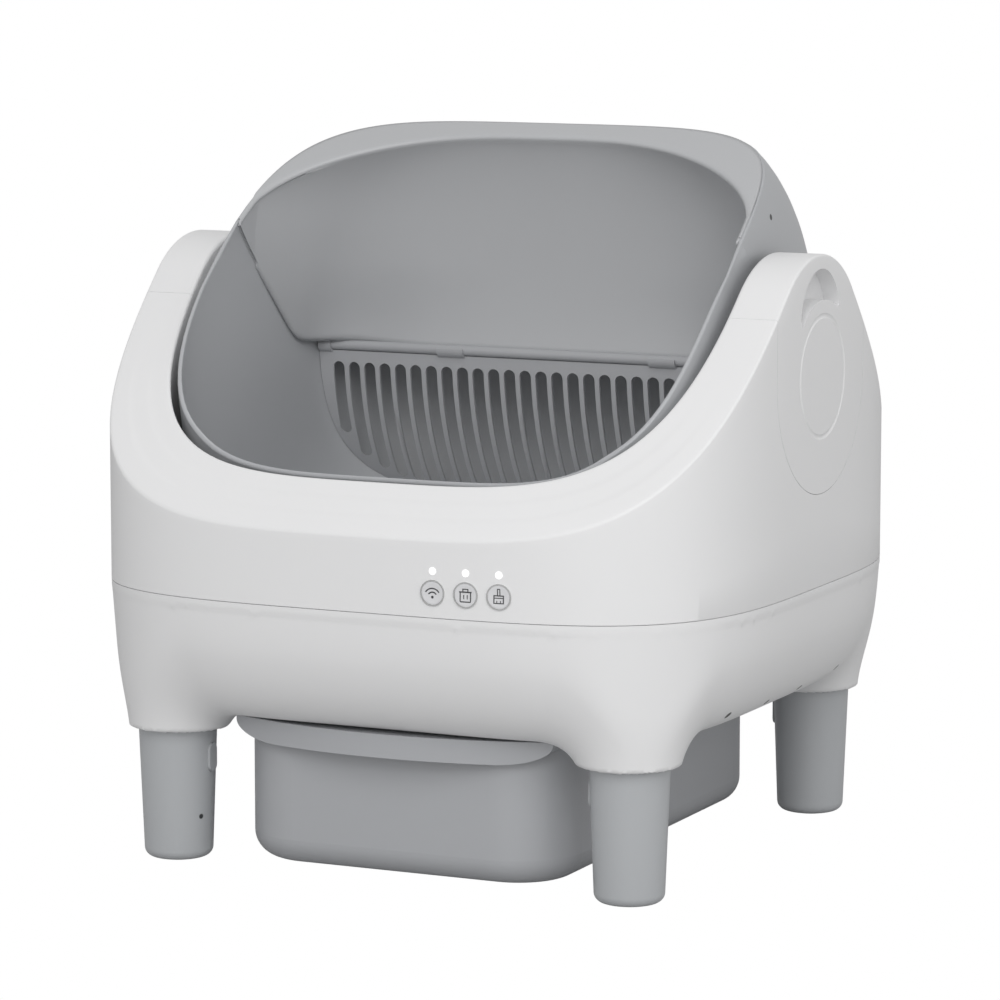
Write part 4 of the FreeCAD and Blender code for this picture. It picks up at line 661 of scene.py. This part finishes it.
def lower_housing_field(x, y, z):
    """Distance to the lower housing, negative inside: belly and sockets blended, trimmed and hollowed."""
    depth = plan_depth(x, y, *BODY)
    u = np.maximum(TUCK - depth, 0) / TUCK
    v = np.maximum(SEAM_Z - z, 0) / TUCK_HEIGHT
    e = np.sqrt(u * u + v * v) + 1e-6
    belly = (e - 1) * e / np.sqrt((u / TUCK) ** 2 + (v / TUCK_HEIGHT) ** 2 + 1e-12)
    away = np.hypot(np.abs(x) - LEG_X, np.abs(y) - LEG_Y)
    socket = away - (SOCKET_RADIUS + SOCKET_SPREAD * (z - SOCKET_RIM_Z))
    lean = SOCKET_LEAN * (SEAM_Z - z) / (SEAM_Z - SOCKET_RIM_Z)
    form = smooth_least(belly, socket, BLEND)
    form = -smooth_least(-form, depth - lean, TRIM_BLEND)
    form = np.maximum(form, SOCKET_RIM_Z - z)
    form = np.maximum(form, np.minimum(BORE_RADIUS - away, BORE_TOP_Z - z))
    share = np.clip((z - CHUTE_FOOT_Z) / CHUTE_HEIGHT, 0, 1)
    half_x, half_y = (CHUTE_HALF[i] + CHUTE_GROWTH[i] * share for i in (0, 1))
    chute = plan_depth(x, y, half_x, half_y, CHUTE_POWER)
    return np.maximum(np.maximum(form, chute), z - SEAM_Z - 2.5)


belly_points, belly_faces = surface_net(lower_housing_field, (-294, -284, 106), (294, 284, 240), 3.0)
# the upper edge: points near it are laid on the outline of the plan, 0.4 mm below the seam at most
belly_points[:, 2] = np.minimum(belly_points[:, 2], SEAM_Z - 0.4)
outward = np.hypot(belly_points[:, 0], belly_points[:, 1])
turn = np.arctan2(belly_points[:, 1], belly_points[:, 0])
tuck = TUCK * (1 - np.sqrt(np.maximum(1 - ((SEAM_Z - belly_points[:, 2]) / TUCK_HEIGHT) ** 2, 0)))
target = plan_radius(turn, *BODY) - tuck - 0.1
near_edge = (belly_points[:, 2] > SEAM_Z - 9.0) & (np.abs(outward - target) < 2.5)
belly_points[near_edge, :2] *= (target / outward)[near_edge, None]
belly_mesh = make_mesh("lower housing", belly_points, belly_faces)
belly_mesh.set_sharp_from_angle(angle=math.radians(50))
piece("lower housing", belly_mesh, "belly_white", "base", ["lower_housing"])
print("lower housing faces:", len(belly_faces))

# %% [markdown]
# ## Drum shells
#
# The drum is a body of revolution about the axis between the towers, cut by a large arc that makes its slanting
# rim. At each place along the axis the shell runs from where its circle meets the arc at the front, down and round,
# to where it meets it at the rear. Outside, rim and inside make one closed grid. It is then divided along the joint
# of bowl and hood: 45 degrees down from the rim, round a soft corner, and level from there to the rear.

# %% Drum
DRUM = (238.0, 224.0, 4.4)  # half length, radius and exponent
DRUM_WALL = 3.0
LIP = 1.3


def circle_through(*places):
    """Centre and radius of the circle through three places: for each pair, 2 (q - p) . centre = |q|^2 - |p|^2."""
    p = np.array(places)
    centre = np.linalg.solve(2 * (p[1:] - p[0]), (p[1:] ** 2).sum(1) - (p[0] ** 2).sum())
    return centre, np.linalg.norm(p[0] - centre)


RIM_CENTRE, RIM_RADIUS = circle_through((-214.0, 334.0), (-88.0, 482.0), (112.0, 601.0))
BEND_RADIUS, BEND_Y = 45.0, -194.0
BEND_START = np.arcsin((BEND_Y - RIM_CENTRE[0]) / RIM_RADIUS)
BEND_END = -np.radians(66.0)
BEND_CENTRE = RIM_CENTRE + (RIM_RADIUS - BEND_RADIUS) * np.array([np.sin(BEND_START), np.cos(BEND_START)])


def rim_z(y):
    """Height of the rim's main arc at y."""
    return RIM_CENTRE[1] + np.sqrt(np.maximum(RIM_RADIUS**2 - (RIM_CENTRE[0] - y) ** 2, 0))


def over_rim(y, z):
    """Distance above the rim in the side view: from the main arc, from the tighter bend at the front, or from the
    straight line that ends the bend, whichever the lean of the place about the bend's centre points to."""
    dy, dz = y - BEND_CENTRE[0], z - BEND_CENTRE[1]
    lean = np.arctan2(dy, dz)
    main = np.hypot(y - RIM_CENTRE[0], z - RIM_CENTRE[1]) - RIM_RADIUS
    bend = np.hypot(dy, dz) - BEND_RADIUS
    line = dy * np.sin(BEND_END) + dz * np.cos(BEND_END) - BEND_RADIUS
    return np.where(lean > BEND_START, main, np.where(lean > BEND_END, bend, line))


def rim_turns(radius, drop=0.0):
    """Angles in the side view, from +Y, where circles round the pivot come within drop of the rim: rear and front.

    Both half turns away from the rim arc's centre cross the rim once at most, so halving finds the place. A circle
    that stays below the rim keeps both half turns whole.
    """
    towards = np.arctan2(RIM_CENTRE[1] - PIVOT_Z, RIM_CENTRE[0])
    found = []
    for way in (1, -1):
        low, high = np.zeros_like(radius), np.full_like(radius, np.pi)
        for _ in range(40):
            half = (low + high) / 2
            a = towards + way * half
            out = over_rim(radius * np.cos(a), PIVOT_Z + radius * np.sin(a)) > -drop
            high = np.where(out, half, high)
            low = np.where(out, low, half)
        found.append(towards + way * high)
    return found


def drum_shell(steps=150, around=200, lip_steps=6):
    """Points and faces of the cut drum: outside from rear to front, a half round lip, back inside, a second lip.

    The sections along the axis lie closer where the drum's side turns into its round wall. Where a circle is whole there is no lip, and the two ends of the circle are welded instead.
    """
    t = np.linspace(0, np.pi, steps)
    t = t - 0.10 * np.sin(4 * t)
    reach = plan_radius(t, *DRUM)
    x_out, r_out = reach * np.cos(t), reach * np.sin(t)
    x_in, r_in = x_out * (1 - DRUM_WALL / DRUM[0]), r_out * (1 - DRUM_WALL / DRUM[1])
    ends_out, ends_in = rim_turns(r_out, LIP), rim_turns(r_in, LIP)

    def arc(x, r, start, stop):
        a = start[:, None] + (stop - start)[:, None] * np.linspace(0, 1, around)[None, :]
        return np.stack([x[:, None] + 0 * a, r[:, None] * np.cos(a), PIVOT_Z + r[:, None] * np.sin(a)], -1)

    def lip(start, stop):
        middle, half = (start + stop) / 2, (start - stop) / 2
        up = middle - [0, *RIM_CENTRE]
        up[:, 0] = 0
        up *= LIP / np.linalg.norm(up, axis=1)[:, None]
        turns = np.linspace(0, np.pi, lip_steps + 2)[1:-1]
        return np.stack([middle + half * np.cos(v) + up * np.sin(v) for v in turns], 1)

    outside = arc(x_out, r_out, *ends_out)
    inside = arc(x_in, r_in, *ends_in[::-1])
    points = np.concatenate([outside, lip(outside[:, -1], inside[:, 0]), inside, lip(inside[:, -1], outside[:, 0])], 1)
    columns = points.shape[1]
    faces = grid_faces(steps, columns, wrap_columns=True).reshape(steps - 1, columns, 4)
    whole = ends_out[0] - ends_out[1] > 2 * np.pi - 1e-6
    column = np.arange(columns)
    on_lip = (column >= around - 1) & (column < around + lip_steps) | (column >= 2 * around + lip_steps - 1)
    keep = ~((whole[1:] & whole[:-1])[:, None] & on_lip[None, :])
    return points, faces[keep]


JOINT_SUM = 478.0
JOINT_LEVEL = 409.0
JOINT_HALF_GAP = 0.015


def joint_height(y, level=JOINT_LEVEL, blend=9.0):
    """Height of the joint at y: down along y + z = 478, then level, as level + (u + sqrt(u^2 + blend^2)) / 2."""
    u = JOINT_SUM - level - y
    return level + (u + np.sqrt(u**2 + blend**2)) / 2


def joint_outline(lift):
    """Outline, in the side view, of the space above the joint; lift moves the joint up."""
    y = np.concatenate([[-222.0, -80.0], np.linspace(20, 120, 41), [300.0]])
    return np.vstack([np.column_stack([y, joint_height(y) + lift]), [300.0, 700.0]])


drum_mesh = make_mesh("drum", *drum_shell())
bowl_mesh = cut_mesh(drum_mesh, prism(joint_outline(-JOINT_HALF_GAP), -300, 300), "DIFFERENCE")
hood_mesh = cut_mesh(drum_mesh, prism(joint_outline(JOINT_HALF_GAP), -300, 300), "INTERSECT")
piece("drum bowl", bowl_mesh, "grey_drum", "drum", ["drum_bowl"])
piece("drum hood", hood_mesh, "grey_hood", "drum", ["drum_hood"])
print("bowl faces:", len(bowl_mesh.polygons), "hood faces:", len(hood_mesh.polygons))

# %% [markdown]
# ## Hood liner
#
# The liner closes the hood towards the cat. Level sections are half superellipses; their half width shrinks towards
# the rim like a dome, and their depth follows an arc that bulges to the rear. That wall is then drawn towards the
# straight line between its two edges and keeps 0.3 of its hollow, which gives the even tone of the photograph. Along
# the rim the liner turns over into a broad band. The band is wide in the middle and runs out to nothing where hood
# and bowl meet.


# %% Liner
LINER_TOP, LINER_FOOT = np.array([87.0, 591.2]), np.array([115.0, 404.0])
LINER_BULGE = 53.0
LINER_HALF = 234.6
LINER_MIDDLE_Y = -40.0
DOME_Z, DOME_CLOSING, DOME_POWER = 515.0, 0.5, 2.6
POWER_TOP, POWER_MORE, POWER_HEIGHT = 3.3, 3.7, 76.0
HOLLOW = 0.3
BAND_INSET = 1.6
BAND_CENTRE_Y = -41.0
BAND_SINK = 0.05
EDGE_DROP = 2.5


def liner_depth(z):
    """Y of the liner's rear wall: an arc of 111 mm radius from the band's edge down to the hinge."""
    half = np.linalg.norm(LINER_TOP - LINER_FOOT) / 2
    bend = (half**2 + LINER_BULGE**2) / (2 * LINER_BULGE)
    out = np.array([LINER_TOP[1] - LINER_FOOT[1], LINER_FOOT[0] - LINER_TOP[0]]) / (2 * half)
    centre = (LINER_TOP + LINER_FOOT) / 2 + out * (LINER_BULGE - bend)
    return centre[0] + np.sqrt(np.maximum(bend**2 - (z - centre[1]) ** 2, 0))


def liner_half(z):
    """Half width of the liner at height z: full up to 515, then closing by half as (share)^2.6."""
    share = np.clip((z - DOME_Z) / (LINER_TOP[1] - DOME_Z), 0, 1)
    return LINER_HALF * (1 - DOME_CLOSING * share**DOME_POWER)


def liner_power(z):
    """Exponent of the liner's plan: 7 at the joint, where it meets the bowl's wall, and 3.3 from 76 mm above it."""
    share = np.clip((z - LINER_FOOT[1]) / POWER_HEIGHT, 0, 1)
    return POWER_TOP + POWER_MORE * (1 - share) ** 2


def liner_point(turn, z):
    """Point of the liner in direction turn (0 right, 90 degrees rear, 180 left) at height z."""
    reach = plan_radius(turn, liner_half(z), liner_depth(z) - LINER_MIDDLE_Y, liner_power(z))
    return reach * np.cos(turn), LINER_MIDDLE_Y + reach * np.sin(turn)


def inside_drum(x, y, z, gap=0.3):
    """x, held inside the drum's inner wall: |x| is at most the wall's half width at that distance from the pivot."""
    share = np.hypot(y, z - PIVOT_Z) / (DRUM[1] - DRUM_WALL)
    limit = (DRUM[0] - DRUM_WALL) * np.maximum(1 - share ** DRUM[2], 0) ** (1 / DRUM[2])
    return np.clip(x, gap - limit, limit - gap)


def solve_height(turn, target):
    """Height where the liner's y and z meet a condition target(y, z) = 0 that rises with z, by halving."""
    low, high = np.full_like(turn, 380.0), np.full_like(turn, 597.0)
    for _ in range(40):
        middle = (low + high) / 2
        _, y = liner_point(turn, middle)
        above = target(y, middle) > 0
        high = np.where(above, middle, high)
        low = np.where(above, low, middle)
    return (low + high) / 2


# the wall: its lower edge lies at the hinge in the middle and rises to the joint at the sides
turn = np.linspace(0.0, np.pi, 260)
turn = turn - 0.12 * np.sin(4 * turn)
z_top = solve_height(turn, lambda y, z: z - rim_z(y))
side_share = smooth_step(np.abs(liner_point(turn, LINER_FOOT[1] + 0 * turn)[0]), 120, 215)
edge_level = LINER_FOOT[1] + (JOINT_LEVEL - LINER_FOOT[1]) * side_share
z_low = solve_height(turn, lambda y, z: z - joint_height(y, edge_level))
share = 1 - (1 - np.linspace(0, 1, 70)) ** 1.3
heights = z_low[:, None] + (z_top - EDGE_DROP - z_low)[:, None] * share[None, :]
wall_x, wall_y = liner_point(turn[:, None], heights)
wall = np.stack([wall_x, wall_y, heights], -1)
straight = wall[:, :1] + (wall[:, -1:] - wall[:, :1]) * share[None, :, None]
wall = straight + (wall - straight) * HOLLOW
wall[..., 0] = inside_drum(*np.moveaxis(wall, -1, 0))

# the band: each point of its inner edge is joined to the point of the drum's rim in the same direction
inner_x, inner_y = liner_point(turn, z_top)
inner_x = inside_drum(inner_x, inner_y, z_top)
t = np.linspace(0.02, np.pi - 0.02, 600)
reach = plan_radius(t, DRUM[0] - BAND_INSET, DRUM[1] - BAND_INSET, DRUM[2])
radius = reach * np.sin(t)
open_circle = radius > RIM_RADIUS - np.hypot(RIM_CENTRE[0], RIM_CENTRE[1] - PIVOT_Z) + 0.2
edges = [np.stack([reach * np.cos(t), radius * np.cos(end)], -1)[open_circle] for end in rim_turns(radius)]
candidates = np.concatenate(edges)
candidates = candidates[candidates[:, 1] > BAND_CENTRE_Y]
angle = np.arctan2(candidates[:, 1] - BAND_CENTRE_Y, candidates[:, 0])
order = np.argsort(angle)
wanted = np.clip(np.arctan2(inner_y - BAND_CENTRE_Y, inner_x), angle.min(), angle.max())
outer_x = np.interp(wanted, angle[order], candidates[order, 0])
outer_y = np.interp(wanted, angle[order], candidates[order, 1])
width = np.hypot(outer_x - inner_x, outer_y - inner_y)
bands = []
for s in (0.03, 0.07, 0.14, 0.3, 0.5, 0.7, 0.9, 1.0):
    x = inner_x + (outer_x - inner_x) * s
    y = inner_y + (outer_y - inner_y) * s
    drop = 2.0 * np.maximum(1 - s * width / 3.0, 0) ** 2
    bands.append(np.stack([x, y, rim_z(y) - drop - BAND_SINK], -1))

# the lower edge turns to the rear as a short foot, so that no bare edge shows
foot = wall[:, :1] + np.array([0, 3.0, -2.5])
heel = wall[:, :1] + np.array([0, 7.0, -1.0])
liner_grid = np.concatenate([heel, foot, wall] + [b[:, None] for b in bands], 1)
liner_mesh = make_mesh("hood liner", liner_grid, grid_faces(*liner_grid.shape[:2]))
liner = piece("hood liner", liner_mesh, "grey_liner", "drum", ["hood_liner"])
sheet = liner.modifiers.new("thickness", "SOLIDIFY")
sheet.thickness = 2.2 * MM
middle_width = float(width[len(width) // 2])
print("liner faces:", len(liner_mesh.polygons), "band width at the middle:", round(middle_width, 1))

# %% [markdown]
# ## Marks on the buttons
#
# Each button carries a small dark grey sign: two arcs over a dot for the network, a bin for cleaning, a brush for
# levelling. A sign is a few thin shapes that follow the dished face of the button, just above it.


# %% Signs
SIGN_Z = 253.6
SIGN_LIFT = 0.06
BUTTON_PROUD, DISH_DEPTH, DISH_SPAN = 0.6, 0.5, 120.0
SIGN_X = {"network": 70.0, "clean": 98.6, "level": 126.7}


def arc_shape(radius, thick, start, stop, steps=14):
    """Outline of a bent bar: an arc out and the same arc back, thick apart, about a centre below the button's."""
    a = np.radians(np.linspace(start, stop, steps))
    out = np.column_stack([np.cos(a), np.sin(a)]) * (radius + thick / 2)
    back = np.column_stack([np.cos(a), np.sin(a)])[::-1] * (radius - thick / 2)
    return np.vstack([out, back]) + [0, -3.3]


def bar_shape(x0, x1, y0, y1):
    """Outline of an upright rectangle."""
    return np.array([[x0, y0], [x1, y0], [x1, y1], [x0, y1]])


SIGNS = {
    "network": [arc_shape(4.0, 1.1, 33, 147), arc_shape(7.0, 1.1, 33, 147), arc_shape(0.58, 1.16, 0, 360)],
    "clean": [bar_shape(-5.4, 5.4, 2.0, 3.0), bar_shape(-2.6, -1.7, 3.0, 5.0), bar_shape(1.7, 2.6, 3.0, 5.0),
              bar_shape(-2.6, 2.6, 4.4, 5.2), bar_shape(-4.9, -4.0, -5.2, 2.0), bar_shape(4.0, 4.9, -5.2, 2.0),
              bar_shape(-4.5, 4.5, -5.8, -4.9), bar_shape(-1.9, -1.1, -3.2, 0.2), bar_shape(1.1, 1.9, -3.2, 0.2)],
    "level": [bar_shape(-1.4, -0.6, 1.5, 6.4), bar_shape(0.6, 1.4, 1.5, 6.4), bar_shape(-1.2, 1.2, 6.0, 6.8),
              bar_shape(-4.4, 4.4, 0.7, 1.6), bar_shape(-4.4, -3.5, -5.3, 0.7), bar_shape(3.5, 4.4, -5.3, 0.7),
              bar_shape(-4.4, 4.4, -5.3, -4.5), bar_shape(-3.6, 3.6, -1.1, -0.4), bar_shape(-1.9, -1.2, -4.6, -2.8),
              bar_shape(1.1, 1.8, -4.6, -2.8)],
}
FINISH["sign"] = plastic("sign print", (0.045, 0.045, 0.05), rough=0.5, grain=0.0)
steeper = BODY[2] - 1
for word, x in SIGN_X.items():
    front = -BODY[1] * (1 - (x / BODY[0]) ** BODY[2]) ** (1 / BODY[2])
    normal = np.array([(x / BODY[0]) ** steeper / BODY[0], -((-front / BODY[1]) ** steeper) / BODY[1], 0])
    normal /= np.linalg.norm(normal)
    across = np.array([-normal[1], normal[0], 0])
    points, faces = [], []
    for shape in SIGNS[word]:
        first = sum(len(p) for p in points)
        dish = BUTTON_PROUD - DISH_DEPTH + (shape**2).sum(1) / DISH_SPAN
        places = np.array([x, front, SIGN_Z]) + np.outer(dish + SIGN_LIFT, normal)
        points.append(places + np.outer(shape[:, 0], across) + np.outer(shape[:, 1], [0, 0, 1]))
        n = len(shape)
        if n > 6:
            faces += [[first + i, first + n - 1 - i, first + n - 2 - i, first + i + 1] for i in range(n // 2 - 1)]
        else:
            faces.append([first + i for i in range(n)])
    mesh = bpy.data.meshes.new(word + " sign")
    mesh.from_pydata((np.vstack(points) * MM).tolist(), [], faces)
    piece(word + " sign", mesh, None, "button_" + word)
    mesh.materials.append(FINISH["sign"])
print("signs:", list(SIGNS))

# %% [markdown]
# ## Studio
#
# The photograph is a cut-out on pure white. The floor and the world are white to the camera, whatever light falls on
# them; to all other rays the floor is a mid grey sheet that throws some light up under the belly, and the world is a
# soft even light. Two large soft lamps stand in front, a little to the right, one of them high; a weaker one lights
# the right side.


# %% Floor, world and lamps
def seen_rays(tree):
    """1 for rays from the camera, straight or through a clear piece, and 0 for all others."""
    paths = tree.nodes.new("ShaderNodeLightPath")
    straight, through = (Sock(tree, paths.outputs[name]) for name in ("Is Camera Ray", "Is Transmission Ray"))
    return straight.math("MAXIMUM", through)


FLOOR_REACH, FLOOR_Z, FLOOR_TONE = 6, -0.0004, 0.5  # in metres
AMBIENT = 0.62
WHITE_LIGHT = (1, 1, 1, 1)
floor_mesh = bpy.data.meshes.new("floor")
corners = [(u * FLOOR_REACH, v * FLOOR_REACH, FLOOR_Z) for u, v in ((-1, -1), (1, -1), (1, 1), (-1, 1))]
floor_mesh.from_pydata(corners, [], [(0, 1, 2, 3)])
floor = bpy.data.objects.new("floor", floor_mesh)
SCENE.collection.objects.link(floor)
made = bpy.data.materials.new("floor")
made.use_nodes = True
tree = made.node_tree
seen = seen_rays(tree)
glow = tree.nodes.new("ShaderNodeEmission")
glow.inputs["Color"].default_value = WHITE_LIGHT
mix = seen.node("ShaderNodeMixShader", {0: seen})
sheet = tree.nodes["Principled BSDF"]
sheet.inputs["Base Color"].default_value = (FLOOR_TONE, FLOOR_TONE, FLOOR_TONE, 1)
sheet.inputs["Roughness"].default_value = 0.9
tree.links.new(sheet.outputs[0], mix.socket.node.inputs[1])
tree.links.new(glow.outputs[0], mix.socket.node.inputs[2])
tree.links.new(mix.socket, tree.nodes["Material Output"].inputs["Surface"])
floor_mesh.materials.append(made)

world = bpy.data.worlds.new("studio")
world.use_nodes = True
SCENE.world = world
tree = world.node_tree
strength = seen_rays(tree) * (1.0 - AMBIENT) + AMBIENT
tree.nodes["Background"].inputs["Color"].default_value = WHITE_LIGHT
tree.links.new(strength.socket, tree.nodes["Background"].inputs["Strength"])


def soft_lamp(name, place, aim, size, power):
    """Puts up a square area lamp at a place, turned to a point, in metres and watts."""
    data = bpy.data.lights.new(name, "AREA")
    data.shape = "SQUARE"
    data.size = size
    data.energy = power
    lamp = bpy.data.objects.new(name, data)
    SCENE.collection.objects.link(lamp)
    lamp.location = place
    lamp.rotation_mode = "QUATERNION"
    lamp.rotation_quaternion = (Vector(aim) - Vector(place)).to_track_quat("-Z", "Y")


MIDDLE = (0, 0, 0.3)
soft_lamp("high", (1.0, -2.2, 2.2), MIDDLE, 1.8, 25.5)
soft_lamp("level", (0.9, -2.8, 0.9), MIDDLE, 1.8, 10.5)
soft_lamp("side", (2.8, -0.8, 1.0), MIDDLE, 1.6, 7.9)
print("ambient:", AMBIENT)

# %% [markdown]
# ## Camera
#
# The camera's place and focal length were found by fitting the outlines of the body, the legs and the rim: 25.07
# degrees to the right of the front, 8 degrees above the level, 3.9 metres away, with a long lens. The aim is shifted
# a little from the middle of the box, because the object isn't quite in the middle of the photograph.

# %% Camera
AIM_RIGHT, AIM_UP = -1.65, -11.72
turn, tilt, away = math.radians(25.073), math.radians(7.997), 3905.0
back = Vector((math.sin(turn) * math.cos(tilt), -math.cos(turn) * math.cos(tilt), math.sin(tilt)))
right = Vector((math.cos(turn), math.sin(turn), 0))
up = back.cross(right)
lens = bpy.data.cameras.new("camera")
lens.lens = 165.17
lens.sensor_width = 36.0
lens.clip_start, lens.clip_end = 0.1, 50.0
camera = bpy.data.objects.new("camera", lens)
SCENE.collection.objects.link(camera)
camera.location = (Vector((0, 0, 300)) + back * away + right * AIM_RIGHT + up * AIM_UP) * MM
camera.rotation_mode = "QUATERNION"
camera.rotation_quaternion = (-back).to_track_quat("-Z", "Y")
SCENE.camera = camera
SCENE.view_settings.view_transform = "Standard"
SCENE.view_settings.look = "None"
print("camera at", [round(v, 3) for v in camera.location])

# %% [markdown]
#
# The visible model is made to fill the same box as the CAD model.

# %% Update the scene
bpy.context.view_layer.update()
